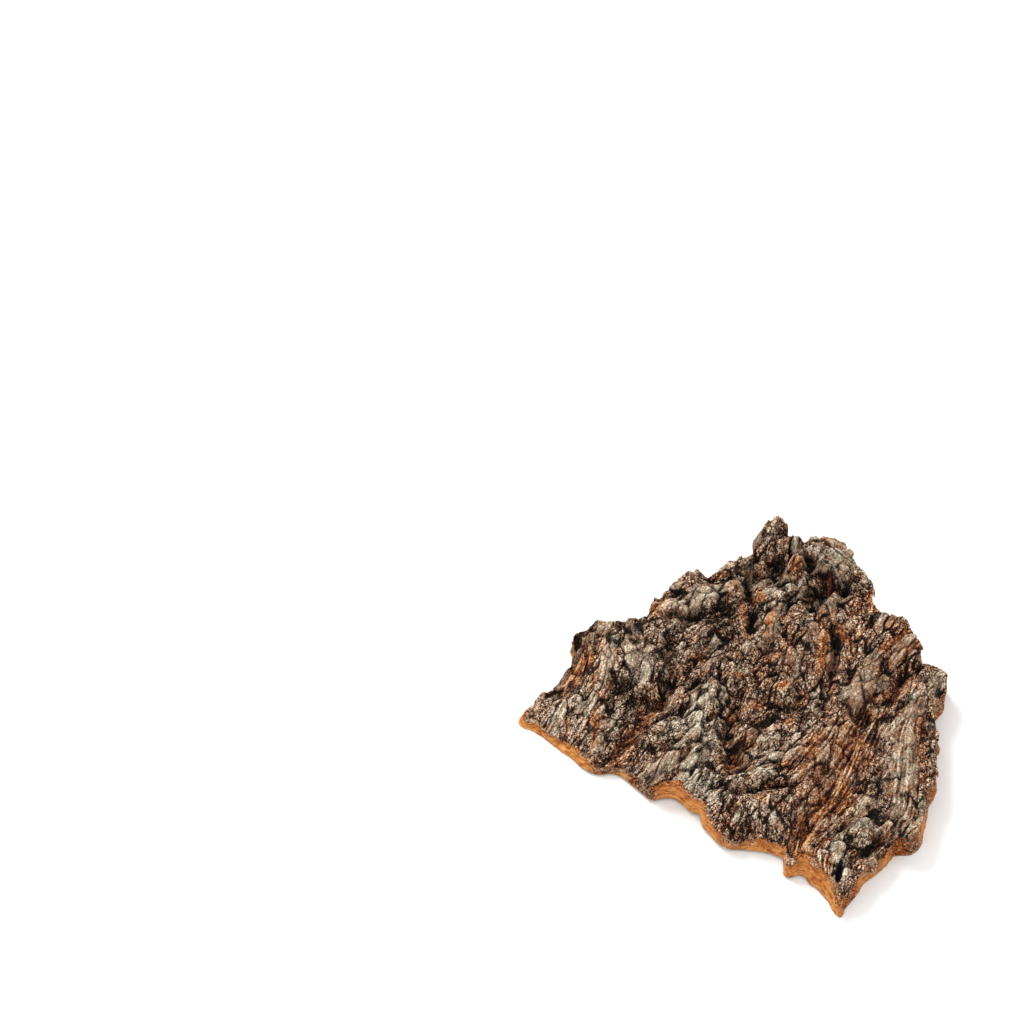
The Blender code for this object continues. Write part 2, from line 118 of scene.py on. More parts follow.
class Noise:
    """Smooth gradient noise in space, the same on each run."""

    def __init__(self, seed: int) -> None:
        """Draws the noise's numbers.

        Args:
            seed: the seed of the draw.
        """
        draw = np.random.default_rng(seed)
        self.order = draw.permutation(DRAWS).astype(np.int32)
        steps = draw.normal(size=(DRAWS, 3))
        self.steps = steps / np.linalg.norm(steps, axis=1, keepdims=True)

    def _drawn(self, cell: Array, shift: tuple[int, int, int]) -> Array:
        """The number drawn for the lattice cell that is shifted from each place's own.

        Args:
            cell: each place's own lattice cell.
            shift: how many cells away, along each axis.

        Returns:
            Whole numbers from 0 up to the number of draws.
        """
        drawn: Union[Array, int] = 0
        for k in range(3):
            drawn = self.order[(drawn + cell[..., k] + shift[k]) & (DRAWS - 1)]
        return drawn

    def _corner(self, cell: Array, shift: tuple[int, int, int], part: Array) -> Array:
        """The share of one corner of each place's lattice cell."""
        step = self.steps[self._drawn(cell, shift)]
        return sum(step[..., k] * (part[..., k] - shift[k]) for k in range(3))

    def at(self, x: Array, y: Array, z: Union[Array, float] = 0.0) -> Array:
        """Noise at places given in wavelengths.

        Args:
            x: places along the first axis.
            y: places along the second axis.
            z: places along the third axis, or one whole number for noise in its plane.

        Returns:
            Values of about -0.8 to 0.8.
        """
        places = np.stack(np.broadcast_arrays(x, y, z), axis=-1).astype(np.float64)
        cell = np.floor(places).astype(np.int32)
        part = places - cell
        ease = part * part * part * (part * (part * 6 - 15) + 10)
        total = np.zeros(places.shape[:-1])
        for shift in product((0, 1), (0, 1), (0,) if np.ndim(z) == 0 else (0, 1)):
            sides = [ease[..., k] if shift[k] else 1 - ease[..., k] for k in range(3)]
            total += sides[0] * sides[1] * sides[2] * self._corner(cell, shift, part)
        return total

    def layered(self, x: Array, y: Array, z: Union[Array, float], length: float, octaves: int = 3) -> Array:
        """Octaves of noise added up, the first with wavelength length.

        Args:
            x: places in millimetres.
            y: places in millimetres.
            z: places in millimetres, or one whole number for noise in its plane.
            length: the longest wavelength in millimetres.
            octaves: how many octaves.

        Returns:
            Values of about -1 to 1.
        """
        total = 0.0
        for octave in range(octaves):
            scale = 2 ** octave / length
            deep = z if np.ndim(z) == 0 else z * scale
            total = total + self.at(x * scale + 17.3 * octave, y * scale + 5.1 * octave, deep) / 2 ** octave
        return total * 1.15

    def cells(self, x: Array, y: Array, z: Array) -> tuple[Array, Array, Array]:
        """Closest-seed cells in space, at places given in cell sizes.

        Args:
            x: places along the first axis.
            y: places along the second axis.
            z: places along the third axis.

        Returns:
            The distances to the closest and to the second seed, and a number from 0 to 1 for each cell.
        """
        places = np.stack(np.broadcast_arrays(x, y, z), axis=-1).astype(np.float64)
        cell = np.floor(places).astype(np.int64)
        nearest = np.full(places.shape[:-1], FAR)
        second = nearest.copy()
        tone = nearest.copy()
        for shift in product((-1, 0, 1), repeat=3):
            drawn = self._drawn(cell, shift)
            seed = cell + shift + 0.5 + 0.45 * self.steps[drawn]
            gap = np.linalg.norm(places - seed, axis=-1)
            closer = gap < nearest
            second = np.where(closer, nearest, np.minimum(second, gap))
            tone = np.where(closer, drawn / (DRAWS - 1), tone)
            nearest = np.where(closer, gap, nearest)
        return nearest, second, tone


class Raster:
    """A fine square raster over the plan, with the work done on fields that have one number for each cell."""

    def __init__(self, low: tuple[float, float], high: tuple[float, float], step: float) -> None:
        """Lays out the cells.

        Args:
            low: the plan's lowest corner in millimetres.
            high: its highest corner in millimetres.
            step: the distance between two cells in millimetres.
        """
        self.step = step
        self.low = low
        self.columns = int(math.ceil((high[0] - low[0]) / step)) + 1
        self.rows = int(math.ceil((high[1] - low[1]) / step)) + 1
        self.x = np.broadcast_to(low[0] + step * np.arange(self.columns), (self.rows, self.columns))
        self.y = np.broadcast_to((low[1] + step * np.arange(self.rows))[:, None], (self.rows, self.columns))

    def blur(self, values: Array, reach: float) -> Array:
        """A Gaussian blur with the given reach in millimetres.

        Args:
            values: the field.
            reach: the blur's reach in millimetres.

        Returns:
            The blurred field.
        """
        rise = np.fft.fftfreq(self.rows, self.step)[:, None]
        run = np.fft.rfftfreq(self.columns, self.step)[None, :]
        keep = np.exp(-2 * math.pi ** 2 * reach ** 2 * (rise ** 2 + run ** 2))
        return np.fft.irfft2(np.fft.rfft2(values) * keep, s=values.shape)

    def blur_inside(self, values: Array, inside: Array, reach: float) -> Array:
        """A blur that leaves out what lies outside, and carries the inside's values a little way out."""
        weight = self.blur(inside.astype(float), reach)
        return self.blur(np.where(inside, values, 0.0), reach) / np.maximum(weight, 1e-4)

    def sample(self, values: Array, x: Array, y: Array) -> Array:
        """The field's values at points of the plan.

        Args:
            values: the field.
            x: places along X in millimetres.
            y: places along Y in millimetres.

        Returns:
            One value for each point, between those of the cells round it.
        """
        column = np.clip((x - self.low[0]) / self.step, 0, self.columns - 1.001)
        row = np.clip((y - self.low[1]) / self.step, 0, self.rows - 1.001)
        i, j = row.astype(int), column.astype(int)
        down, along = row - i, column - j
        top = values[i, j] * (1 - along) + values[i, j + 1] * along
        bottom = values[i + 1, j] * (1 - along) + values[i + 1, j + 1] * along
        return top * (1 - down) + bottom * down

    def slopes(self, values: Array) -> tuple[Array, Array]:
        """The field's slopes along X and along Y."""
        rise = np.gradient(values, self.step)
        return rise[1], rise[0]

    def fill(self, outline: Array) -> Array:
        """Which cells lie inside a closed outline of points.

        Args:
            outline: the outline's points, one row each.

        Returns:
            True for each cell inside.
        """
        inside = np.zeros((self.rows, self.columns), bool)
        ahead = np.roll(outline, -1, axis=0)
        for row in range(self.rows):
            y = self.low[1] + self.step * row
            crossing = (outline[:, 1] > y) != (ahead[:, 1] > y)
            a, b = outline[crossing], ahead[crossing]
            cuts = np.sort(a[:, 0] + (y - a[:, 1]) / (b[:, 1] - a[:, 1]) * (b[:, 0] - a[:, 0]))
            for low, high in zip(cuts[::2], cuts[1::2]):
                inside[row] |= (self.x[row] >= low) & (self.x[row] < high)
        return inside

    def patches(self, spots: Sequence[Ellipse], x: Array, y: Array, softness: float = 0.45) -> Array:
        """How much each cell belongs to any of the soft patches, from 0 to 1.

        Args:
            spots: the patches.
            x: places along X in millimetres.
            y: places along Y in millimetres.
            softness: how wide each patch's soft edge is, in shares of its size.

        Returns:
            The largest share at each place.
        """
        best = np.zeros_like(x)
        for spot in spots:
            turn = math.radians(spot.angle)
            dx, dy = x - spot.x, y - spot.y
            along = (dx * math.cos(turn) + dy * math.sin(turn)) * 2 / spot.length
            across = (dy * math.cos(turn) - dx * math.sin(turn)) * 2 / spot.width
            reach = np.sqrt(along ** 2 + across ** 2)
            best = np.maximum(best, spot.strength * (1 - smooth_step(1 - softness, 1 + softness, reach)))
        return best


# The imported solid

@dataclass
class Solid:
    """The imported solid, read as a mesh: its rings of rim points and the heights of its two faces."""

    tree: BVHTree = field(init=False)
    rings: list[Array] = field(init=False)

    def __post_init__(self) -> None:
        """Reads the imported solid's mesh."""
        mesh = bmesh.new()
        mesh.from_mesh(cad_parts[NODE].data)
        bmesh.ops.remove_doubles(mesh, verts=mesh.verts, dist=1e-6)
        mesh.normal_update()
        mesh.verts.index_update()
        mesh.edges.index_update()
        self.tree = BVHTree.FromBMesh(mesh)
        self.rings = self._aligned(self._rings(mesh))
        mesh.free()

    @staticmethod
    def _aligned(rings: list[Array]) -> list[Array]:
        """The rings all anticlockwise, each starting above the one below it.

        Args:
            rings: the rings, the lowest first.

        Returns:
            The same rings, lined up.
        """
        lined: list[Array] = []
        for ring in rings:
            ahead = np.roll(ring, -1, axis=0)
            if (ring[:, 0] * ahead[:, 1] - ring[:, 1] * ahead[:, 0]).sum() < 0:
                ring = ring[::-1]
            if lined:
                gaps = [np.abs(np.roll(ring, k, axis=0) - lined[-1]).sum() for k in range(len(ring))]
                ring = np.roll(ring, int(np.argmin(gaps)), axis=0)
            lined.append(ring)
        return lined

    def _rings(self, mesh: bmesh.types.BMesh) -> list[Array]:
        """The rim's rings of points, from the inner face's up to the bark face's, in millimetres.

        Args:
            mesh: the solid's mesh.

        Returns:
            The rings, one row for each point.
        """
        low_edge = [e for e in mesh.edges if len(e.link_faces) == 2 and self._is_low_rim(e)]
        loops = [self._chained(low_edge)]
        seen = set(loops[0])
        for _ in range(RIM_ROWS):
            last = set(loops[-1])
            ahead = {e.other_vert(v) for v in loops[-1] for e in v.link_edges if self._climbs(e)}
            ahead -= seen
            between = [
                e for v in ahead for e in v.link_edges
                if e.other_vert(v) in ahead and any(set(f.verts) & last for f in e.link_faces)
            ]
            loops.append(self._chained(between))
            seen |= set(loops[-1])
        return [np.array([v.co[:] for v in loop]) / MM for loop in loops]

    @staticmethod
    def _is_low_rim(edge: bmesh.types.BMEdge) -> bool:
        """Whether the edge parts the inner face from the torn rim."""
        downs = sorted(face.normal.z for face in edge.link_faces)
        return downs[0] < -0.9 and downs[1] > -0.75

    @staticmethod
    def _climbs(edge: bmesh.types.BMEdge) -> bool:
        """Whether the edge lies on the torn rim and not on the inner face."""
        return all(face.normal.z > -0.85 for face in edge.link_faces)

    @staticmethod
    def _chained(edges: Sequence[bmesh.types.BMEdge]) -> list[bmesh.types.BMVert]:
        """The points of the longest closed chain of the edges, in order.

        Args:
            edges: the edges, in any order.

        Returns:
            The chain's points.
        """
        beside: dict[bmesh.types.BMVert, list[bmesh.types.BMVert]] = {}
        for edge in sorted(set(edges), key=lambda e: e.index):
            a, b = edge.verts
            beside.setdefault(a, []).append(b)
            beside.setdefault(b, []).append(a)
        best: list[bmesh.types.BMVert] = []
        left = set(beside)
        while left:
            start = min(left, key=lambda v: v.index)
            chain, before, here = [start], None, start
            while True:
                ahead = [v for v in beside[here] if v is not before and (v is start or v not in chain)]
                if not ahead or ahead[0] is start:
                    break
                before, here = here, ahead[0]
                chain.append(here)
            left -= set(chain)
            if len(chain) > len(best):
                best = chain
        return best


def with_between(ring: Array, count: int) -> Array:
    """A closed ring's points with smooth ones between them.

    Args:
        ring: the ring's points, one row each.
        count: how many points there are in the end for each of the ring's own.

    Returns:
        All the points, one row each.
    """
    before, ahead, after = (np.roll(ring, shift, axis=0) for shift in (1, -1, -2))
    fine = []
    for k in range(count):
        t = k / count
        fine.append(
            0.5 * (2 * ring + (ahead - before) * t + (2 * before - 5 * ring + 4 * ahead - after) * t * t
                   + (3 * ring - before - 3 * ahead + after) * t ** 3)
        )
    return np.stack(fine, axis=1).reshape(-1, ring.shape[1])


def curve_through(points: Array, step: float) -> Array:
    """A closed smooth curve through the points, cut to even steps.

    Args:
        points: the ring's points, one row each.
        step: the distance between the new points in millimetres.

    Returns:
        The new points, one row each.
    """
    dense = with_between(points, CURVE_POINTS)
    closed = np.vstack([dense, dense[:1]])
    walked = np.concatenate([[0.0], np.cumsum(np.linalg.norm(np.diff(closed[:, :2], axis=0), axis=1))])
    places = np.linspace(0.0, walked[-1], int(round(walked[-1] / step)), endpoint=False)
    return np.stack([np.interp(places, walked, closed[:, k]) for k in range(points.shape[1])], axis=1)


# Where the bark differs from place to place, in the plan

# Grain: a place and its grain's angle from +X
GRAIN = (
    (-100, 0, 62), (-62, 36, 84), (-42, -38, 46), (-25, -38, 56), (-20, 4, 74), (-20, 80, 20),
    (-22, 92, 28), (8, 100, 12), (24, 84, 28), (22, 60, 74), (30, 118, 76), (64, 100, 150),
    (54, 44, 78), (66, 52, 112), (76, 16, 58), (96, 42, 38), (116, 14, 78), (96, -44, 86),
    (72, -30, 70), (48, -60, 60), (60, -88, 39), (16, -72, 80), (22, -34, 40), (8, -46, 12),
    (88, 58, 55), (20, -10, 62), (-40, -14, 30), (-20, 35, 60), (42, -112, 120), (66, -112, 60),
)
SMOOTH = ellipses(
    (-42, -38, 34, 11, 48), (-26, -40, 44, 13, 56), (-20, 3, 36, 12, 74), (-18, 80, 50, 10, 19),
    (27, 85, 22, 8, 28), (65, 99, 20, 17, 150), (74, 18, 38, 12, 58), (94, -42, 84, 18, 86, 0.7),
    (105, 0, 26, 12, 78), (117, 15, 26, 10, 78), (22, -34, 36, 12, 40), (-72, 38, 34, 9, 84), (100, 41, 24, 7, 38),
    (62, -86, 36, 7, 39), (26, 60, 18, 6, 74),
)
FIBROUS = ellipses(
    (68, -18, 62, 24, 68), (50, -62, 62, 26, 60), (44, -28, 54, 18, 62), (36, -88, 24, 12, 76),
    (-3, -16, 54, 9, 92), (-48, -2, 62, 10, 50), (76, -4, 26, 20, 60), (-90, 30, 44, 10, 66),
    (46, -112, 30, 16, 120), (-78, 10, 70, 8, 86, 0.7), (10, -22, 26, 16, 60, 0.6), (96, -42, 90, 20, 86, 0.55),
    (102, 44, 30, 12, 38, 0.6), (-100, 2, 44, 16, 62, 0.4),
)
BARE_CORK = ellipses(
    (8, 68, 38, 5, 94), (-83, 38, 13, 4, 80), (-82, 22, 12, 4, 84), (-81, -13, 24, 5, 84), (53, 40, 32, 6, 80),
    (66, 53, 26, 5, 112), (27, 14, 10, 8, 0), (17, 80, 9, 8, 30), (39, 97, 10, 9, 60), (86, 76, 22, 7, 130),
    (2, 24, 13, 4, 10), (3, 89, 10, 5, 60), (-45, 70, 9, 7, 0), (13, 5, 9, 6, 0), (12, -66, 9, 8, 0, 0.8),
    (44, -94, 22, 6, 40), (94, 46, 26, 5, 38), (70, 22, 18, 5, 58, 0.7), (-60, 66, 14, 3, 0), (22, 62, 26, 4, 74),
    (31, -8, 9, 6, 60),
)
RUSTY = ellipses(
    (66, -24, 56, 14, 68, 0.9), (48, -66, 46, 14, 60), (76, -2, 22, 14, 60, 0.8), (-20, 42, 16, 8, 50),
    (22, 38, 14, 9, 60), (32, 46, 14, 8, 40), (-4, -35, 16, 10, 70), (-67, -24, 30, 10, 56), (80, -89, 16, 12, 50),
    (107, -30, 76, 5, 88), (0, 0, 24, 9, 92, 0.8), (-50, 2, 50, 7, 50, 0.7), (-93, 30, 40, 8, 66, 0.8),
    (34, -88, 26, 12, 76), (50, 62, 20, 10, 60, 0.7), (44, -32, 40, 7, 62, 0.7), (62, 30, 24, 5, 70, 0.6),
    (100, 54, 30, 5, 130, 0.6), (44, -114, 30, 10, 122), (70, -104, 26, 8, 44, 0.8), (-12, -76, 18, 12, 0, 0.7),
    (30, 44, 46, 26, 60, 0.55), (60, 44, 50, 28, 70, 0.6), (98, 28, 44, 26, 70, 0.55), (90, 62, 44, 14, 130, 0.5),
    (58, -40, 90, 30, 68, 0.4),
)
PALE = ellipses(
    (-100, -2, 54, 28, 62), (-56, 30, 34, 22, 85, 0.8), (-40, -14, 36, 15, 22, 0.9), (-18, -6, 44, 16, 76),
    (-8, -57, 30, 12, 0, 0.9), (-22, -51, 26, 15, 54, 2.4), (8, -46, 38, 6, 8), (24, -22, 34, 16, 50, 0.6),
    (60, -90, 40, 12, 39, 0.35), (70, 56, 30, 16, 60, 0.6), (-18, 80, 44, 7, 19, 0.7), (94, -42, 80, 14, 86, 0.1),
    (-2, 22, 30, 10, 8, 0.7), (12, -72, 22, 14, 0, 0.5), (56, -111, 14, 10, 60, 0.7), (29, 122, 10, 7, 70, 0.6),
    (-24, -46, 30, 15, 52), (-72, -3, 26, 12, 70, 0.8), (-2, 2, 20, 12, 80, 0.7), (63, 101, 18, 14, 0),
    (-98, 4, 40, 24, 62, 0.7), (-14, -30, 24, 12, 60, 0.6), (26, 78, 24, 14, 30, 0.8), (53, -48, 14, 10, 60, 0.6),
    (-70, 42, 24, 14, 84, 0.6), (118, -20, 40, 8, 88, 0.6), (2, -72, 14, 8, 0, 0.8),
)
# Darker bark, and painted shade in pits, in hollows and under raised plates
DARK_AND_SHADE = ellipses(
    (46, 105, 66, 36, 165, 0.2), (51, 84, 26, 18, 60, 0.3), (70, 86, 22, 10, 170), (-26, 62, 30, 8, 20, 0.9),
    (11, 72, 44, 5, 92), (72, 0, 22, 10, 165, 0.8), (-56, 57, 22, 9, 0, 0.8), (-36, 1, 26, 8, 8),
    (90, -86, 20, 14, 20, 0.9), (-62, -36, 26, 10, 30, 0.9), (-22, 19, 12, 7, 10), (100, 26, 34, 5, 50, 0.9),
    (112, -40, 80, 5, 88, 0.5), (2, -78, 22, 8, 0, 0.6), (56, -110, 9, 6, 60), (22, 48, 20, 10, 60, 0.5),
    (-42, 40, 34, 6, 88, 0.8), (92, 66, 26, 10, 130, 0.5), (-57, 24, 16, 10, 80, 0.9), (-20, 54, 18, 10, 30, 0.9),
    (-46, -42, 14, 8, 40), (64, -80, 18, 10, 40, 0.7), (-57, -8, 26, 16, 60, 0.8), (66, -91, 16, 8, 40, 0.5),
    (30, 28, 20, 12, 70, 0.7),
)

# The knot by the spike, a dark lens between pale lips
KNOT = ellipses((54.5, -111, 12, 3.6, 76))
KNOT_LIPS = ellipses((54.5, -111, 17, 9, 76))
# Plates and troughs with few cracks across
CALM = ellipses(
    (94, -42, 90, 22, 86), (74, 18, 40, 14, 58), (102, 44, 30, 12, 38), (66, -22, 62, 24, 68),
    (49, -64, 58, 24, 60), (44, -28, 50, 16, 62),
)
# The hollow between the far knobs, which lumps of crust half fill
FILLED_HOLLOW = ellipses((51, 84, 24, 18, 60))
# The cluster of knobs at the far edge, with deep crevices
KNOBBLY = ellipses((44, 102, 70, 42, 165))


@dataclass(frozen=True)
class BareRim:
    """A stretch of the rim where the crust has broken back from the torn edge."""

    x: float
    y: float
    reach: float
    width: float


BARE_RIMS = tuple(BareRim(*row) for row in (
    (-122, 3, 6, 3.0), (-92, -24, 7, 1.5), (-38, -52, 9, 1.6), (-26, -60, 7, 1.2), (-18, -70, 6, 2.2),
    (16, -87, 6, 1.5), (28, -101, 6, 3.2), (38, -107, 5, 2.2), (47, -116, 5, 2.0), (52, -128, 4, 2.0),
    (83, -94, 5, 1.0),
))

# Where weathered crust wraps over the torn rim, down to the ground
WRAPPED = ellipses(
    (-76, -34, 16, 12, 0, 0.75), (-56, -46, 22, 14, 140), (120, 10, 60, 24, 90, 0.8), (115, -40, 70, 16, 85, 0.7),
    (96, -88, 24, 18, 0, 0.9), (-98, 36, 50, 14, 66, 0.6), (-8, -84, 18, 10, 0, 0.45), (62, -120, 18, 8, 55, 0.8),
    (76, -102, 16, 6, 40, 0.4),
)


class Part(Enum):
    """The pieces that the crust is cut into, and the share of its plan left of each one's right side."""

    LEFT = 0.26
    MIDDLE_LEFT = 0.51
    MIDDLE_RIGHT = 0.76
    RIGHT = 1.0


@dataclass
class Cells:
    """Bark plates or granules: closest-seed cells that are stretched along the grain at their own seed."""

    raster: Raster
    length: float
    width: float
    seed: int
    nearest: Array = field(init=False)
    second: Array = field(init=False)
    owner: Array = field(init=False)
    seeds: Array = field(init=False)

    def grow(self, grain: Array, inside: Array, shift_x: Array, shift_y: Array) -> "Cells":
        """Lays the seeds and finds each raster cell's nearest ones.

        Args:
            grain: the grain's angle over the raster, in radians.
            inside: where the bark is.
            shift_x: how far the pattern is moved along X at each place.
            shift_y: how far the pattern is moved along Y at each place.

        Returns:
            These cells.
        """
        raster = self.raster
        draw = np.random.default_rng(self.seed)
        gap = math.sqrt(self.length * self.width)
        columns = int(raster.columns * raster.step / gap) + 1
        rows = int(raster.rows * raster.step / gap) + 1
        x = raster.low[0] + gap * (np.arange(columns)[None, :] + draw.uniform(-0.15, 1.15, (rows, columns)))
        y = raster.low[1] + gap * (np.arange(rows)[:, None] + draw.uniform(-0.15, 1.15, (rows, columns)))
        near = raster.sample(raster.blur(inside.astype(float), 1.0), x, y) > 0.01
        self.seeds = np.stack([x[near], y[near]], axis=1)
        angle = raster.sample(grain, self.seeds[:, 0], self.seeds[:, 1])
        size = draw.uniform(0.75, 1.3, len(self.seeds))
        east, north = raster.x + shift_x, raster.y + shift_y
        self.nearest = np.full(east.shape, FAR)
        self.second = np.full(east.shape, FAR)
        self.owner = np.full(east.shape, -1, np.int32)
        reach = int(1.5 * self.length / raster.step) + 2
        for k, (sx, sy) in enumerate(self.seeds):
            i = int((sy - raster.low[1]) / raster.step)
            j = int((sx - raster.low[0]) / raster.step)
            window = (slice(max(i - reach, 0), max(i + reach, 1)), slice(max(j - reach, 0), max(j + reach, 1)))
            dx, dy = east[window] - sx, north[window] - sy
            c, s = math.cos(angle[k]), math.sin(angle[k])
            along, across = (dx * c + dy * s) / self.length, (dy * c - dx * s) / self.width
            distance = np.sqrt(along * along + across * across) * size[k]
            closer = distance < self.nearest[window]
            self.second[window] = np.where(closer, self.nearest[window], np.minimum(self.second[window], distance))
            self.nearest[window] = np.where(closer, distance, self.nearest[window])
            self.owner[window] = np.where(closer, k, self.owner[window])
        return self

    def gap(self) -> Array:
        """About how far each place is from the border of its cell, in millimetres."""
        return (self.second - self.nearest) * self.width * 0.6

    def tone(self, seed: int) -> Array:
        """A number from 0 to 1 for each cell, the same all over it."""
        draw = np.random.default_rng(seed)
        return draw.random(len(self.seeds))[np.maximum(self.owner, 0)]

    def own_place(self, grain: Array) -> tuple[Array, Array]:
        """How far each place is from its cell's seed, along and across the grain there, in millimetres.

        Args:
            grain: the grain's angle over the raster, in radians.

        Returns:
            The distance along and the distance across.
        """
        owner = np.maximum(self.owner, 0)
        angle = self.raster.sample(grain, self.seeds[:, 0], self.seeds[:, 1])[owner]
        dx, dy = self.raster.x - self.seeds[owner, 0], self.raster.y - self.seeds[owner, 1]
        return dx * np.cos(angle) + dy * np.sin(angle), dy * np.cos(angle) - dx * np.sin(angle)

    def tilt(self, seed: int, slope: float) -> Array:
        """Heights of flat tops that lean each its own way, in millimetres.

        Args:
            seed: the seed of the draw.
            slope: the usual slope of a top.

        Returns:
            The heights over the raster.
        """
        draw = np.random.default_rng(seed)
        lean = draw.normal(0.0, slope, (len(self.seeds), 2))
        owner = np.maximum(self.owner, 0)
        away_x, away_y = self.raster.x - self.seeds[owner, 0], self.raster.y - self.seeds[owner, 1]
        return np.clip(away_x * lean[owner, 0] + away_y * lean[owner, 1], -1.5, 1.5)


@dataclass
class Relief:
    """The bark face worked out over the raster: its height, its outline and what its finish needs."""

    solid: Solid
    step: float = 0.36
    margin: float = 9.0
    facet_blur: float = 0.95
    sharpness: float = 0.45
    plate_length: float = 13.0
    plate_width: float = 6.0
    shard_length: float = 6.4
    shard_width: float = 3.3
    granule_length: float = 3.4
    granule_width: float = 2.1
    wander: float = 2.2
    stride: float = 1.5
    overhang: float = 0.35
    crust_depth: float = 0.9
    least_crust: float = 2.2
    least_back: float = 0.7
    back_reach: float = 4.4
    crown_room: float = 1.6
    crown_ease: float = 1.5
    far_knob: float = 110.0
    knob_shift: float = 6.0
    raster: Raster = field(init=False)
    inside: Array = field(init=False)
    depth: Array = field(init=False)
    bare_rim: Array = field(init=False)
    edge: Array = field(init=False)
    base: Array = field(init=False)
    floor: Array = field(init=False)
    back: Array = field(init=False)
    height: Array = field(init=False)
    plates: Cells = field(init=False)
    marks: dict[str, Array] = field(init=False)

    def __post_init__(self) -> None:
        """Reads the solid and works out the bark."""
        low = [CAD_BOX[0][k] / MM - self.margin for k in (0, 1)]
        high = [CAD_BOX[1][k] / MM + self.margin for k in (0, 1)]
        self.raster = Raster((low[0], low[1]), (high[0], high[1]), self.step)
        self._read_solid()
        self._shape_bark()

    def _read_solid(self) -> None:
        """The solid's two faces over the raster, with the solid's own facets smoothed out of the bark face."""
        raster = self.raster
        outline = curve_through(self.solid.rings[-1][:, :2], 1.0)
        self.inside = raster.fill(outline)
        coarse = Raster(raster.low, (raster.low[0] + raster.step * raster.columns,
                                     raster.low[1] + raster.step * raster.rows), raster.step * 2)
        held = coarse.fill(outline)
        top, under = np.zeros(held.shape), np.zeros(held.shape)
        down, up = Vector((0, 0, -1)), Vector((0, 0, 1))
        for i, j in zip(*np.nonzero(held)):
            x, y = coarse.x[i, j] * MM, coarse.y[i, j] * MM
            above = self.solid.tree.ray_cast(Vector((x, y, LOOK_FROM)), down)[0]
            below = self.solid.tree.ray_cast(Vector((x, y, -LOOK_FROM)), up)[0]
            held[i, j] = above is not None and below is not None
            if held[i, j]:
                top[i, j], under[i, j] = above.z / MM, below.z / MM
        fine_top = coarse.blur_inside(top, held, self.facet_blur)
        wide_top = coarse.blur_inside(top, held, 4.0)
        known = coarse.blur(held.astype(float), self.facet_blur) > 0.02
        fine_top = np.where(known, fine_top, wide_top)
        fine_top += self.sharpness * (fine_top - coarse.blur_inside(fine_top, known, 4.5))
        self.base = coarse.sample(fine_top, raster.x, raster.y)
        self.floor = coarse.sample(coarse.blur_inside(under, held, 2.0), raster.x, raster.y)
        fine_outline = curve_through(self.solid.rings[-1][:, :2], 0.5)
        self.depth = coarse.sample(self._signed_distance(coarse, held, fine_outline), raster.x, raster.y)

    @staticmethod
    def _signed_distance(raster: Raster, held: Array, outline: Array) -> Array:
        """How far inside the outline each place is, negative outside, up to the depth that is known.

        Args:
            raster: the raster that the distances are for.
            held: which cells are inside.
            outline: the outline's points, close together.

        Returns:
            The distances in millimetres.
        """
        soft = raster.blur(held.astype(float), 5.0)
        near = (soft > 0.03) & (soft < 0.97)
        away = np.where(held, KNOWN_DEPTH, -KNOWN_DEPTH)
        places = np.stack([raster.x[near], raster.y[near]], axis=1)
        least = np.full(len(places), 1e9)
        for start in range(0, len(outline), 200):
            part = outline[start:start + 200]
            gaps = (places[:, None, 0] - part[None, :, 0]) ** 2 + (places[:, None, 1] - part[None, :, 1]) ** 2
            least = np.minimum(least, gaps.min(axis=1))
        away[near] = np.clip(np.sqrt(least), 0, KNOWN_DEPTH) * np.where(held[near], 1.0, -1.0)
        return away

    def _grain(self) -> Array:
        """The grain's angle over the raster, in radians.

        Returns:
            One angle for each cell.
        """
        raster = self.raster
        twice_x, twice_y = np.full(raster.x.shape, 0.05), np.full(raster.x.shape, 0.05)
        for x, y, angle in GRAIN:
            weight = np.exp(-((raster.x - x) ** 2 + (raster.y - y) ** 2) / (2 * 15.0 ** 2))
            twice_x = twice_x + weight * math.cos(2 * math.radians(angle))
            twice_y = twice_y + weight * math.sin(2 * math.radians(angle))
        return 0.5 * np.arctan2(twice_y, twice_x)

    def _streaks(self, grain: Array, seed: int, length: float, width: float) -> Array:
        """Streaks that run with the grain: noise smeared along it, evened to a mean of 0 and a spread of 1.

        Args:
            grain: the grain's angle over the raster, in radians.
            seed: the seed of the draw.
            length: how long a streak is, in millimetres.
            width: how wide it is, in millimetres.

        Returns:
            The streaks over the raster.
        """
        raster = self.raster
        draw = np.random.default_rng(seed)
        dots = raster.blur(draw.normal(size=raster.x.shape), width * 0.42)
        steps = int(length / 2 / (raster.step * self.stride))
        total = dots.copy()
        for stride in (-self.stride, self.stride):
            i, j = np.indices(raster.x.shape)
            row, column = i.astype(float), j.astype(float)
            for _ in range(steps):
                row = row + stride * np.sin(grain[i, j])
                column = column + stride * np.cos(grain[i, j])
                i = np.clip(row.round().astype(int), 0, raster.rows - 1)
                j = np.clip(column.round().astype(int), 0, raster.columns - 1)
                total += dots[i, j]
        total -= total.mean()
        return total / total.std()

    def _lines(self, values: Array, width: float) -> Array:
        """Thin wandering lines where the values pass through 0.

        Args:
            values: the field.
            width: how wide a line is, in millimetres.

        Returns:
            1 on the lines, down to 0 beside them.
        """
        slope_x, slope_y = self.raster.slopes(values)
        away = np.abs(values) / np.maximum(np.hypot(slope_x, slope_y), 0.02)
        return np.exp(-(away / width) ** 2)

    @staticmethod
    def _stepped(values: Array, step: float) -> Array:
        """The values drawn to flat treads, one step apart."""
        whole = np.floor(values / step)
        return step * (whole + smooth_step(0.3, 0.7, values / step - whole))

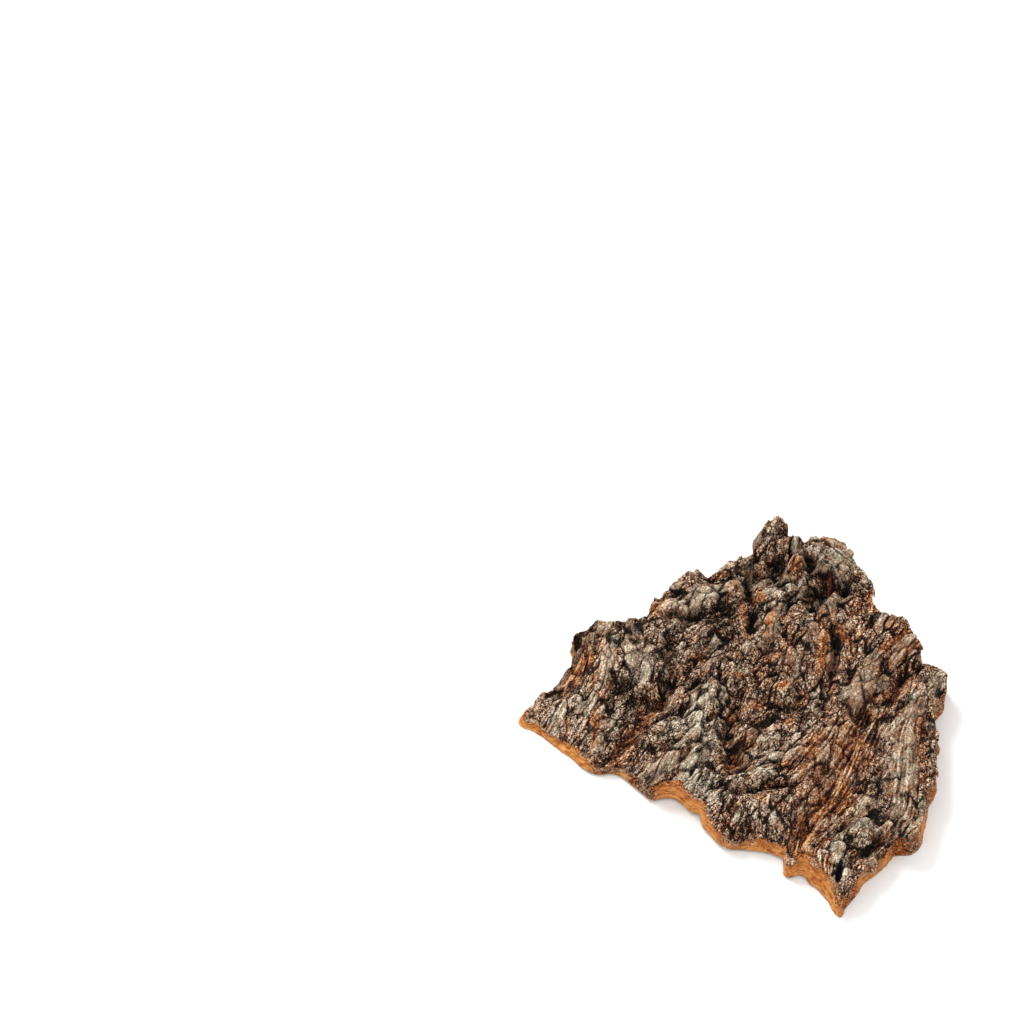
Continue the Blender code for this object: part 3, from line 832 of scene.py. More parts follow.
    def _lowest(self, values: Array, reach: float) -> Array:
        """The lowest value within a reach of each place.

        Args:
            values: the field.
            reach: how far it looks along X and Y, in millimetres.

        Returns:
            The lowest values.
        """
        low = values.copy()
        for axis in (0, 1):
            cells = int(round(reach / self.raster.step))
            line = low.copy()
            for k in range(1, cells + 1):
                for way in (-k, k):
                    line = np.minimum(line, np.roll(low, way, axis=axis))
            low = line
        return low

    def _shape_bark(self) -> None:
        """Adds plates, cracks, granules, fibres and torn layers to the solid's broad shape."""
        raster, x, y = self.raster, self.raster.x, self.raster.y
        noise = Noise(11)
        grain = self._grain()
        warp_x = 1.3 * noise.layered(x, y, 3.0, 7.0) + 0.35 * noise.layered(x, y, 9.0, 1.6, 2)
        warp_y = 1.3 * noise.layered(x, y, 13.0, 7.0) + 0.35 * noise.layered(x, y, 19.0, 1.6, 2)
        east, north = x + self.wander * warp_x, y + self.wander * warp_y
        smooth = raster.patches(SMOOTH, east, north)
        fibrous = raster.patches(FIBROUS, east, north)
        self.plates = Cells(raster, self.plate_length, self.plate_width, 21).grow(grain, self.inside, warp_x, warp_y)
        smooth = np.maximum(smooth, raster.blur(0.85 * (self.plates.tone(46) > 0.72), 0.5) * (1 - fibrous))
        rough = np.clip(1.0 - 0.85 * smooth - 0.7 * fibrous, 0.0, 1.0)
        shards = Cells(raster, self.shard_length, self.shard_width, 22).grow(grain, self.inside, warp_x, warp_y)
        granules = Cells(raster, self.granule_length, self.granule_width, 23).grow(
            grain, self.inside, 0.7 * warp_x, 0.7 * warp_y)
        fine = self._streaks(grain, 31, 16.0, 0.8)
        broad = self._streaks(grain, 32, 30.0, 2.2)

        slope_x, slope_y = raster.slopes(raster.blur(self.base, 0.8))
        steep = smooth_step(0.35, 1.1, np.hypot(slope_x, slope_y))
        layers = self.base / 1.5 + 0.8 * noise.layered(x, y, 5.0, 9.0)
        tread = np.abs((layers % 1.0) - 0.5) * 2

        open_plate = smooth_step(-0.3, 0.5, noise.layered(x, y, 30.0, 14.0))
        open_shard = smooth_step(-0.2, 0.6, noise.layered(x, y, 40.0, 9.0))
        plate_crack = np.exp(-(self.plates.gap() / (0.4 + 0.35 * open_plate)) ** 2) * (0.2 + 0.8 * open_plate)
        shard_crack = np.exp(-(shards.gap() / 0.36) ** 2) * open_shard * (0.35 + 0.65 * rough)
        winding = self._streaks(grain, 33, 40.0, 6.0) + 0.5 * noise.layered(x, y, 81, 5.0, 2)
        thin_crack = np.maximum(
            self._lines(winding, 0.26) * open_plate,
            self._lines(noise.layered(east, north, 91.0, 4.5, 2), 0.26) * (0.3 + 0.7 * rough) * 0.8,
        )

        detail = (0.4 + 0.6 * rough) * (0.6 * (self.plates.tone(1) - 0.5) + self.plates.tilt(2, 0.055))
        detail += (0.3 + 0.7 * rough) * (0.4 * (shards.tone(3) - 0.5) + shards.tilt(4, 0.07))
        detail += (0.2 + 0.8 * rough) * (0.16 * (granules.tone(5) - 0.5) + granules.tilt(6, 0.08))
        detail = 0.25 * detail + 0.75 * self._stepped(detail + 0.25 * noise.layered(x, y, 45.0, 3.0), 0.42)
        plate_crack *= 1 - 0.5 * raster.patches(CALM, east, north)
        detail -= 1.6 * plate_crack + 0.7 * shard_crack + 0.9 * thin_crack
        detail += (0.08 + 0.38 * fibrous + 0.08 * smooth) * fine + (0.05 + 0.36 * fibrous) * broad
        detail += 0.5 * steep * (tread - 0.5)
        crumbs = self._stepped(noise.layered(x, y, 50.0, 1.7, 2), 0.34)
        grit = noise.layered(x, y, 55.0, 0.85, 1)
        detail += (0.06 + 0.14 * rough) * crumbs + (0.18 + 0.2 * rough) * grit
        knot = raster.patches(KNOT, x, y, 0.3)
        self._raise(self._with_knobs(detail, knot, noise))
        self._tear(0.8 * noise.layered(x, y, 70.0, 3.2) - 0.9 * plate_crack - 0.5 * shard_crack)

        close, wide = raster.blur(self.height, 0.9), raster.blur(self.height, 2.4)
        along, across = self.plates.own_place(grain)
        self.marks = {
            "along": along,
            "across": across,
            # The hollow and deep marks: how far a place lies below its surroundings, which the finish darkens as
            # painted shade in hollows and recesses
            "hollow": np.clip((wide - self.height) / 2.0, 0, 1),
            "deep": np.clip((raster.blur(self.base, 7.0) - raster.blur(self.height, 1.2)) / 5.0, 0, 1),
            # The crest mark: how far a place stands above its surroundings, for a painted highlight on the crests
            "crest": np.clip((self.height - close) / 0.6, 0, 1),
            # The crack mark: where the cracks run, which the finish darkens as painted shade
            "crack": np.clip(plate_crack + 0.8 * shard_crack + 0.8 * thin_crack, 0, 1),
            "plate_tone": self.plates.tone(41),
            "plate_hue": 0.55 * self.plates.tone(44) + 0.45 * shards.tone(45),
            "shard_tone": shards.tone(42),
            "granule_tone": granules.tone(43),
            "streak": np.clip(0.5 + 0.22 * fine + 0.12 * broad, 0, 1),
            "smooth": smooth,
            "fibrous": fibrous,
            "bare": raster.patches(BARE_CORK, east, north, 0.35),
            "rusty": raster.patches(RUSTY, east, north, 0.5),
            "pale": raster.patches(PALE, east, north, 0.5) + 1.6 * raster.patches(KNOT_LIPS, x, y, 0.4) * (1 - knot),
            # The dark mark: darker bark and the knot, and painted shade in pits, hollows and under raised plates
            "dark": raster.patches(DARK_AND_SHADE, east, north, 0.5) + 1.8 * knot,
        }

    def _with_knobs(self, detail: Array, knot: Array, noise: Noise) -> Array:
        """Deepens the far knobs, half fills the hollow between them, and sinks the knot between its lips.

        Args:
            detail: the height on top of the broad shape, in millimetres.
            knot: how much each place is the knot.
            noise: the noise to shape them with.

        Returns:
            The new detail.
        """
        raster, x, y = self.raster, self.raster.x, self.raster.y
        knobbly = raster.patches(KNOBBLY, x, y, 0.4)
        detail = detail * (1 + 0.7 * knobbly) + 1.5 * knobbly * noise.layered(x, y, 97.0, 6.5, 2)
        filling = raster.patches(FILLED_HOLLOW, x, y, 0.6)
        detail += filling * (2.6 + 3.2 * noise.layered(x, y, 95.0, 5.5, 2))
        return detail - (1.6 * knot - 0.9 * raster.patches(KNOT_LIPS, x, y, 0.5) * (1 - knot))

    def _raise(self, detail: Array) -> None:
        """Adds the detail to the broad shape, eased in under the solid's top, and lays the crust's hidden back.

        Args:
            detail: the height on top of the broad shape, in millimetres.
        """
        height = np.maximum(self.base + detail, self.floor + self.least_crust)
        over = np.clip(height - (CAD_BOX[1][2] / MM - self.crown_room), 0.0, None)
        self.height = height - over + self.crown_ease * np.tanh(over / self.crown_ease)
        lowest = self._lowest(self.height, self.back_reach)
        self.back = np.maximum(lowest - self.crust_depth, self.floor + self.least_back)

    def _tear(self, ragged: Array) -> None:
        """Lays the crust's torn edge, further back where the cork under it is bare.

        Args:
            ragged: how far the edge is out of line, in millimetres.
        """
        x, y = self.raster.x, self.raster.y
        self.bare_rim = sum(
            rim.width * np.exp(-((x - rim.x) ** 2 + (y - rim.y) ** 2) / (2 * rim.reach ** 2)) for rim in BARE_RIMS
        )
        ragged = ragged * (1 + 0.8 * self.bare_rim)
        self.edge = self.depth + self.overhang + ragged - self.bare_rim * (0.8 + 0.5 * self.plates.tone(51))

    def share(self, part: Part) -> Array:
        """How far inside one piece of the crust each place is, in millimetres; below 0 it is outside.

        Args:
            part: the piece.

        Returns:
            The distances over the raster.
        """
        raster = self.raster
        seeds = self.plates.seeds
        turn = math.radians(MAIN_GRAIN)
        across = seeds[:, 0] * math.sin(turn) - seeds[:, 1] * math.cos(turn)
        # The far knob stays whole
        across = across + self.knob_shift * (seeds[:, 1] > self.far_knob)
        place = across[np.maximum(self.plates.owner, 0)]
        cuts = [-1e9] + [float(np.quantile(place[self.inside], p.value)) for p in Part]
        order = list(Part).index(part)
        own = (place > cuts[order]) & (place <= cuts[order + 1] + (1e9 if part is Part.RIGHT else 0.0))
        border = (raster.blur(own.astype(float), 0.45) - 0.5) * 1.1
        return np.minimum(self.edge, border - 0.08)


# Meshes

def mesh_object(name: str, points: Array, faces: Sequence[Array]) -> bpy.types.Object:
    """A new object with its place in its mesh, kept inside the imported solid's box.

    Args:
        name: the piece's name.
        points: the points in millimetres.
        faces: arrays of corner numbers, one for each number of corners.

    Returns:
        The object, smooth shaded, linked to the scene.
    """
    mesh = bpy.data.meshes.new(name)
    mesh.vertices.add(len(points))
    mesh.vertices.foreach_set("co", np.clip(points * MM, *CAD_BOX).astype(np.float32).ravel())
    corners = np.concatenate([part.ravel() for part in faces]).astype(np.int32)
    sizes = np.concatenate([np.full(len(part), part.shape[1]) for part in faces])
    starts = np.concatenate([[0], np.cumsum(sizes)[:-1]]).astype(np.int32)
    mesh.loops.add(len(corners))
    mesh.loops.foreach_set("vertex_index", corners)
    mesh.polygons.add(len(sizes))
    mesh.polygons.foreach_set("loop_start", starts)
    mesh.update(calc_edges=True)
    mesh.validate()
    mesh.polygons.foreach_set("use_smooth", np.ones(len(mesh.polygons), bool))
    piece = bpy.data.objects.new(name, mesh)
    bpy.context.scene.collection.objects.link(piece)
    return piece


def set_mark(piece: bpy.types.Object, name: str, values: Array) -> None:
    """Keeps one number for each point of the piece, for its finish to read."""
    mark = piece.data.attributes.new(name, "FLOAT", "POINT")
    mark.data.foreach_set("value", values.astype(np.float32))


def loops_of(edges: Array) -> list[Array]:
    """Closed chains made from directed edges.

    Args:
        edges: pairs of point numbers, each point the start of one pair at most.

    Returns:
        The chains, longest first.
    """
    ahead = dict(zip(edges[:, 0].tolist(), edges[:, 1].tolist()))
    chains = []
    while ahead:
        start, here = next(iter(ahead.items()))
        chain = [start]
        del ahead[start]
        while here != start:
            chain.append(here)
            here = ahead.pop(here)
        chains.append(np.array(chain))
    return sorted(chains, key=len, reverse=True)


@dataclass
class CrustPiece:
    """One piece of the crust: a closed shell with the bark face on top and a lip round its edge."""

    relief: Relief
    part: Part
    lip_rows: int = 3
    lip_depth: float = 1.1
    lip_turn: float = 0.7
    back_step: float = 4.0

    def build(self) -> bpy.types.Object:
        """Cuts the bark face out of the raster, and adds the lip and the back.

        Returns:
            The finished piece, with its marks.
        """
        raster = self.relief.raster
        reach = self.relief.share(self.part)
        quads = self._kept_quads(reach > -0.3 * raster.step)
        rows, columns = np.nonzero(quads)
        corner = rows * raster.columns + columns
        faces = np.stack([corner, corner + 1, corner + 1 + raster.columns, corner + raster.columns], axis=1)
        used, faces = np.unique(faces, return_inverse=True)
        faces = faces.reshape(-1, 4)
        i, j = used // raster.columns, used % raster.columns
        x, y = raster.x[i, j].copy(), raster.y[i, j].copy()
        loop = self._border(faces)
        plan = np.stack([x[loop], y[loop]], axis=1)
        x[loop], y[loop] = self._snapped(reach, x[loop], y[loop])
        z = raster.sample(self.relief.height, x, y)
        top = np.stack([x, y, z], axis=1)
        points, rim_faces, back_faces = self._lip_and_back(top, loop, plan)
        piece = mesh_object(f"bark_crust_{self.part.name.lower()}", points, [faces, rim_faces, back_faces])
        for name, values in self.relief.marks.items():
            set_mark(piece, name, raster.sample(values, points[:, 0], points[:, 1]))
        below = np.zeros(len(points))
        below[len(top):] = 1.0
        set_mark(piece, "lip", below)
        return piece

    @staticmethod
    def _kept_quads(inside: Array) -> Array:
        """Raster squares with all four corners inside, in one piece that meets itself along edges alone.

        Args:
            inside: which cells are inside the piece.

        Returns:
            True for each square that is kept.
        """
        quads = inside[:-1, :-1] & inside[1:, :-1] & inside[:-1, 1:] & inside[1:, 1:]
        for _ in range(6):
            around = np.pad(quads, 1)
            count = around[:-2, 1:-1].astype(int) + around[2:, 1:-1] + around[1:-1, :-2] + around[1:-1, 2:]
            quads = quads & (count >= 2)
            around = np.pad(quads, 1)
            a, b, c, d = around[:-1, :-1], around[:-1, 1:], around[1:, :-1], around[1:, 1:]
            touching = (a & d & ~b & ~c) | (b & c & ~a & ~d)
            quads = quads & ~(touching[:-1, :-1] | touching[1:, 1:] | touching[:-1, 1:] | touching[1:, :-1])
        return CrustPiece._largest(quads)

    @staticmethod
    def _largest(quads: Array) -> Array:
        """The largest connected group of squares, with the holes in it closed.

        Args:
            quads: the squares.

        Returns:
            True for each square of the group.
        """
        def spread(start: Array, room: Array) -> Array:
            """Grows the start through the room, along rows and columns.

            Args:
                start: where it starts.
                room: where it can go.

            Returns:
                All that it reaches.
            """
            grown = start & room
            while True:
                before = int(grown.sum())
                for axis in (0, 1):
                    for flip in (False, True):
                        here = np.flip(grown, axis) if flip else grown
                        free = np.flip(room, axis) if flip else room
                        moved = here.copy()
                        lines = range(1, here.shape[axis])
                        for k in lines:
                            if axis == 0:
                                moved[k] |= moved[k - 1] & free[k]
                            else:
                                moved[:, k] |= moved[:, k - 1] & free[:, k]
                        grown = np.flip(moved, axis) if flip else moved
                if int(grown.sum()) == before:
                    return grown

        rest, best = quads.copy(), np.zeros_like(quads)
        while rest.sum() > best.sum():
            start = np.zeros_like(quads)
            start[tuple(np.argwhere(rest)[len(np.argwhere(rest)) // 2])] = True
            group = spread(start, rest)
            if group.sum() > best.sum():
                best = group
            rest &= ~group
        outside = np.zeros_like(quads)
        outside[0, :] = outside[-1, :] = outside[:, 0] = outside[:, -1] = True
        return ~spread(outside, ~best)

    @staticmethod
    def _border(faces: Array) -> Array:
        """The loop of points round the faces.

        Args:
            faces: each face's corner numbers.

        Returns:
            The loop's point numbers.
        """
        edges = np.concatenate([faces[:, [k, (k + 1) % 4]] for k in range(4)])
        size = int(faces.max()) + 1
        forward = edges[:, 0].astype(np.int64) * size + edges[:, 1]
        backward = edges[:, 1].astype(np.int64) * size + edges[:, 0]
        return loops_of(edges[~np.isin(forward, backward)])[0]

    def _snapped(self, reach: Array, x: Array, y: Array) -> tuple[Array, Array]:
        """Moves the border's points onto the piece's true outline.

        Args:
            reach: how far inside the piece each place is.
            x: the points along X in millimetres.
            y: the points along Y in millimetres.

        Returns:
            The new places along X and along Y.
        """
        raster = self.relief.raster
        slope_x, slope_y = raster.slopes(reach)
        gx, gy = raster.sample(slope_x, x, y), raster.sample(slope_y, x, y)
        size = np.maximum(np.hypot(gx, gy), 0.4)
        move = np.clip(raster.sample(reach, x, y) / size, -0.7 * raster.step, 0.7 * raster.step)
        x, y = x - move * gx / size, y - move * gy / size
        for _ in range(2):
            x = 0.5 * x + 0.25 * (np.roll(x, 1) + np.roll(x, -1))
            y = 0.5 * y + 0.25 * (np.roll(y, 1) + np.roll(y, -1))
        return x, y

    def _lip_and_back(self, top: Array, loop: Array, plan: Array) -> tuple[Array, Array, Array]:
        """The turned-down lip and the hidden back that close the shell.

        Args:
            top: the bark face's points.
            loop: the numbers of its border points, anticlockwise.
            plan: where those points are on the raster, in the plan.

        Returns:
            All the points, the lip's faces and the back's faces.
        """
        raster, relief = self.relief.raster, self.relief
        ring = top[loop]
        run = np.roll(ring, -3, axis=0) - np.roll(ring, 3, axis=0)
        size = np.maximum(np.hypot(run[:, 0], run[:, 1]), 1e-6)
        out_x, out_y = run[:, 1] / size, -run[:, 0] / size
        noise = Noise(77)
        depth = self.lip_depth * (1 + 0.6 * noise.layered(ring[:, 0], ring[:, 1], 0.0, 6.0))
        room = np.maximum(ring[:, 2] - raster.sample(relief.floor, ring[:, 0], ring[:, 1]) - 0.5, 0.6)
        depth = np.minimum(depth, room)
        points, faces = [top], []
        last = loop
        count = len(top)
        for row in range(1, self.lip_rows + 1):
            share = row / self.lip_rows
            turn = self.lip_turn * share ** 2 + 0.15 * noise.at(ring[:, 0] / 1.3, ring[:, 1] / 1.3, share * 3)
            rung = ring.copy()
            rung[:, 0] -= turn * out_x
            rung[:, 1] -= turn * out_y
            rung[:, 2] -= depth * share
            numbers = count + np.arange(len(loop))
            faces.append(np.stack([last, numbers, np.roll(numbers, -1), np.roll(last, -1)], axis=1))
            points.append(rung)
            count += len(loop)
            last = numbers
        filling, triangles = capped(plan, raster, self.back_step)
        points.append(np.column_stack([filling, raster.sample(relief.back, filling[:, 0], filling[:, 1])]))
        numbers = np.concatenate([last, count + np.arange(len(filling))])
        return np.vstack(points), np.vstack(faces), numbers[triangles][:, ::-1]


def capped(border: Array, raster: Raster, step: float) -> tuple[Array, Array]:
    """Fills a closed outline with triangles.

    Args:
        border: the outline's points in the plan, anticlockwise, which never crosses itself.
        raster: the raster that the filling is tested on.
        step: the distance between the new points inside, in millimetres.

    Returns:
        The new inner points, and the triangles, which face up and count the border's points first.
    """
    inner = raster.blur(raster.fill(border).astype(float), max(0.4 * step, 0.8))
    x, y = np.meshgrid(np.arange(border[:, 0].min(), border[:, 0].max(), step),
                       np.arange(border[:, 1].min(), border[:, 1].max(), step * 0.87))
    x = x + np.where(np.arange(x.shape[0])[:, None] % 2, step / 2, 0.0)
    keep = raster.sample(inner, x, y) > 0.93
    filling = np.stack([x[keep], y[keep]], axis=1)
    places = [Vector(p) for p in border] + [Vector(p) for p in filling]
    edges = [(k, (k + 1) % len(border)) for k in range(len(border))]
    made = delaunay_2d_cdt(places, edges, [list(range(len(border)))], 1, 1e-7)
    first = np.array([min(source) for source in made[3]])
    return filling, first[np.array(made[2])]


@dataclass
class CorkBody:
    """The cork under the crust: its torn rim all round, its smooth inner face, and its hidden top.

    The rim has its full roughness where it is at least full_depth high. The top is held crust_gap under the
    crust, and release is how far above that the rim may still be where the top starts.
    """

    solid: Solid
    relief: Relief
    rows: int = 24
    between: int = 7
    top_drop: float = 0.9
    top_inset: float = 0.8
    recess: float = 0.55
    under_step: float = 1.4
    top_step: float = 4.0
    top_lift: float = 0.35
    climb_share: float = 0.74
    crust_gap: float = 0.5
    release: float = 9.0
    full_depth: float = 9.0

    def build(self) -> bpy.types.Object:
        """Makes the body as one closed mesh.

        Returns:
            The finished piece, with its marks.
        """
        wall, marks = self._wall()
        rows, count = wall.shape[:2]
        points = [wall.reshape(-1, 3)]
        number = np.arange(rows * count).reshape(rows, count)
        ahead = np.roll(number, -1, axis=1)
        quads = np.stack([number[:-1], ahead[:-1], ahead[1:], number[1:]], axis=-1).reshape(-1, 4)
        values = {name: [value.ravel()] for name, value in marks.items()}
        total = rows * count
        faces = [quads]
        raster = self.relief.raster
        for row, ring, step, flip in ((0, 0, self.under_step, True), (rows - 1, -1, self.top_step, False)):
            filling, triangles = capped(with_between(self.solid.rings[ring], self.between)[:, :2], raster, step)
            if flip:
                z, hollow = self._inner_face(filling[:, 0], filling[:, 1])
            else:
                z = raster.sample(self.relief.back, filling[:, 0], filling[:, 1]) + self.top_lift
                hollow = np.zeros(len(z))
            points.append(np.column_stack([filling, z]))
            triangles = np.where(triangles < count, triangles + row * count, triangles - count + total)
            faces.append(triangles[:, ::-1] if flip else triangles)
            total += len(filling)
            for name in values:
                values[name].append(hollow if name == "hollow" else np.zeros(len(z)))
        piece = mesh_object("cork_body", np.vstack(points), faces)
        for name, parts in values.items():
            set_mark(piece, name, np.concatenate(parts))
        return piece

    def _wall(self) -> tuple[Array, dict[str, Array]]:
        """The torn rim as rows of points, from the inner face's edge up to the crust, with its marks.

        Returns:
            The rows of points, and the marks by name.
        """
        low, lower, upper, high = (with_between(ring, self.between) for ring in self.solid.rings)
        raster, noise = self.relief.raster, Noise(51)
        climb = int(self.rows * self.climb_share)
        v = np.linspace(0, 1, climb)[:, None, None]
        wall = (
            low * (1 - 3 * v) * (2 - 3 * v) * (1 - v) / 2 + lower * 9 * v * (2 - 3 * v) * (1 - v) / 2
            - upper * 9 * v * (1 - 3 * v) * (1 - v) / 2 + high * v * (1 - 3 * v) * (2 - 3 * v) / 2
        )
        run = np.roll(high, -6, axis=0) - np.roll(high, 6, axis=0)
        run /= np.maximum(np.hypot(run[:, :1], run[:, 1:2]), 1e-6)
        bare = raster.sample(self.relief.bare_rim, high[:, 0], high[:, 1])
        inset = self.top_inset + 1.25 * bare
        shoulder = []
        for share in np.linspace(0, 1, self.rows - climb + 1)[1:]:
            x, y = high[:, 0] - share * inset * run[:, 1], high[:, 1] + share * inset * run[:, 0]
            shoulder.append(np.column_stack([x, y, raster.sample(self.relief.base, x, y)]))
        wall = np.concatenate([wall, np.array(shoulder)])
        v = np.concatenate([np.linspace(0, 1, climb), np.linspace(1, 2, self.rows - climb + 1)[1:]])[:, None]
        chamfer = np.minimum(0.45 * bare, 0.3 * (high[:, 2] - low[:, 2]))
        drop = self.top_drop * smooth_step(0.6, 1.0, v)
        wall[..., 2] -= drop + chamfer * smooth_step(0.5, 1.0, v) * smooth_step(2.2, 1.0, v)
        for _ in range(2):
            wall[1:-1] = 0.5 * wall[1:-1] + 0.25 * (wall[:-2] + wall[2:])
        along = np.roll(wall, -4, axis=1) - np.roll(wall, 4, axis=1)
        out = np.cross(along, np.gradient(wall, axis=0))
        out[..., 2] = np.clip(out[..., 2], 0, None)
        out /= np.maximum(np.linalg.norm(out, axis=-1, keepdims=True), 1e-9)
        x, y, z = wall[..., 0], wall[..., 1], wall[..., 2]
        step = np.hypot(*(np.roll(high, -1, axis=0) - high)[:, :2].T)
        walked = np.broadcast_to(np.cumsum(step), x.shape)
        rise = (z - 0.5 * high[None, :, 2]) + 0.9 * noise.layered(x, y, 7.0, 16.0)
        warp = noise.layered(x, y, z, 5.0)
        near, second, tone = noise.cells(walked / 4.6 + 0.3 * warp, rise / 1.9 + 0.3 * warp, 0 * x + 0.5)
        crack = np.exp(-((second - near) / 0.13) ** 2) * smooth_step(-0.1, 0.5, noise.layered(x, y, z, 8.0))
        fibres = noise.layered(walked / 7.0, rise, 0 * x, 1.3, 3)
        dents = noise.layered(x, y, z * 1.4, 4.2, 3)
        push = 0.7 * (tone - 0.5) - 0.7 * crack + 0.35 * fibres + 0.75 * dents
        recess = self.recess * smooth_step(0.25, 0.7, v) * smooth_step(1.5, 0.9, v)
        push += 0.9 * noise.layered(x, y, z, 11.0) - recess
        room = smooth_step(0.0, 0.12, v) * smooth_step(2.0, 1.5, v)
        thin = np.clip((high[None, :, 2] - low[None, :, 2]) / self.full_depth, 0.4, 1.0)
        push = push * room * thin + 0.5 * noise.layered(x, y, z, 3.4) * (1 - room) * (v < 0.5)
        wall = wall + out * push[..., None]
        # The hidden top stays under the crust
        crust = raster.sample(self.relief.height, wall[..., 0], wall[..., 1]) - self.crust_gap
        shown = smooth_step(0.9, 1.1, v)
        held = np.minimum(wall[..., 2], crust + (1 - shown) * self.release)
        wall[..., 2] = np.where(shown > 0, held, wall[..., 2])
        marks = {
            "wall": smooth_step(0.0, 0.06, v) * np.ones_like(x),
            "crusted": smooth_step(-0.12, 0.1, v - 0.55 - 0.25 * np.clip(bare, 0, 1) + 0.5 * dents),
            "layer": np.clip(0.5 + 0.5 * fibres, 0, 1),
            "walked": walked,
            "rise": rise,
            "chunk_tone": tone,
            "dark": raster.sample(raster.patches(WRAPPED, raster.x, raster.y, 0.5), x, y),
            # The hollow mark: where the rim is pushed in, for painted shade in its recesses
            "hollow": np.clip(0.2 - 0.5 * push / np.maximum(thin, 0.1), 0, 1) * room,
        }
        return wall, marks

    def _inner_face(self, x: Array, y: Array) -> tuple[Array, Array]:
        """The inner face's heights and its pits, with faint grain and the small lens-shaped pores of cork.

        Args:
            x: places along X in millimetres.
            y: places along Y in millimetres.

        Returns:
            The heights in millimetres, and how deep in a pit each place is, which the finish darkens as painted
            shade.
        """
        noise = Noise(61)
        turn = math.radians(MAIN_GRAIN)
        along, across = x * math.cos(turn) + y * math.sin(turn), y * math.cos(turn) - x * math.sin(turn)
        grain = noise.layered(along / 7, across, 0.0, 3.2, 3)
        near, _, tone = noise.cells(along / 9.0, across / 5.0, np.zeros_like(x) + 0.5)
        pores = smooth_step(0.26, 0.12, near) * (tone > 0.45)
        waves = noise.layered(along / 3, across, 9.0, 24.0, 2)
        lift = 0.22 * np.clip(grain + 0.3, 0, None) + 0.55 * pores + 0.25 * np.clip(waves, 0, None)
        z = np.maximum(self.relief.raster.sample(self.relief.floor, x, y), 0.0) + lift
        return z, np.clip(pores + 0.25 * np.clip(grain, 0, None), 0, 1)


# Shading

def srgb(red: float, green: float, blue: float) -> Colour:
    """A colour given as on a screen, from 0 to 255, as linear light.

    Args:
        red: its red.
        green: its green.
        blue: its blue.

    Returns:
        The colour from 0 to 1.
    """
    def linear(value: float) -> float:
        """One channel of it."""
        share = value / 255
        return share / 12.92 if share <= 0.04045 else ((share + 0.055) / 1.055) ** 2.4
    return linear(red), linear(green), linear(blue)


def stops(*rows: tuple[float, float, float, float]) -> Stops:
    """A ramp's stops from rows of a place and a colour as on a screen."""
    return tuple((place, srgb(*colour)) for place, *colour in rows)


Number = Union["Value", float, int]


@dataclass(frozen=True)
class Value:
    """One output of a material's node, with its maths written as expressions."""

    shader: "Shader"
    socket: Optional[bpy.types.NodeSocket]

    def math(self, operation: str, *values: Number) -> "Value":
        """A Math node.

        Args:
            operation: the node's operation.
            values: its inputs.

        Returns:
            The result.
        """
        return self.shader.node("ShaderNodeMath", {"operation": operation}, dict(enumerate(values)))

    def moved(self, step: float) -> "Value":
        """The same coordinates moved along all three axes."""
        return self.shader.node("ShaderNodeVectorMath", {"operation": "ADD"}, {0: self, 1: (step, step, step)})

    def __add__(self, other: Number) -> "Value":
        """The sum."""
        return self.math("ADD", self, other)

    def __radd__(self, other: Number) -> "Value":
        """The sum with a number first."""
        return self.math("ADD", other, self)

    def __sub__(self, other: Number) -> "Value":
        """The difference."""
        return self.math("SUBTRACT", self, other)

    def __rsub__(self, other: Number) -> "Value":
        """The difference from a number."""
        return self.math("SUBTRACT", other, self)

    def __mul__(self, other: Number) -> "Value":
        """The product."""
        return self.math("MULTIPLY", self, other)

    def __rmul__(self, other: Number) -> "Value":
        """The product with a number first."""
        return self.math("MULTIPLY", other, self)

    def swing(self, amount: Number) -> "Value":
        """What a number from 0 to 1 adds, half the amount either way."""
        return amount * (self - 0.5)

    def clamped(self) -> "Value":
        """The value kept between 0 and 1."""
        return self.ranged(0.0, 1.0)

    def ranged(self, low: float, high: float) -> "Value":
        """A smooth rise from 0 at low to 1 at high."""
        settings = {"interpolation_type": "SMOOTHSTEP" if (low, high) != (0.0, 1.0) else "LINEAR", "clamp": True}
        return self.shader.node("ShaderNodeMapRange", settings, {0: self, 1: low, 2: high})


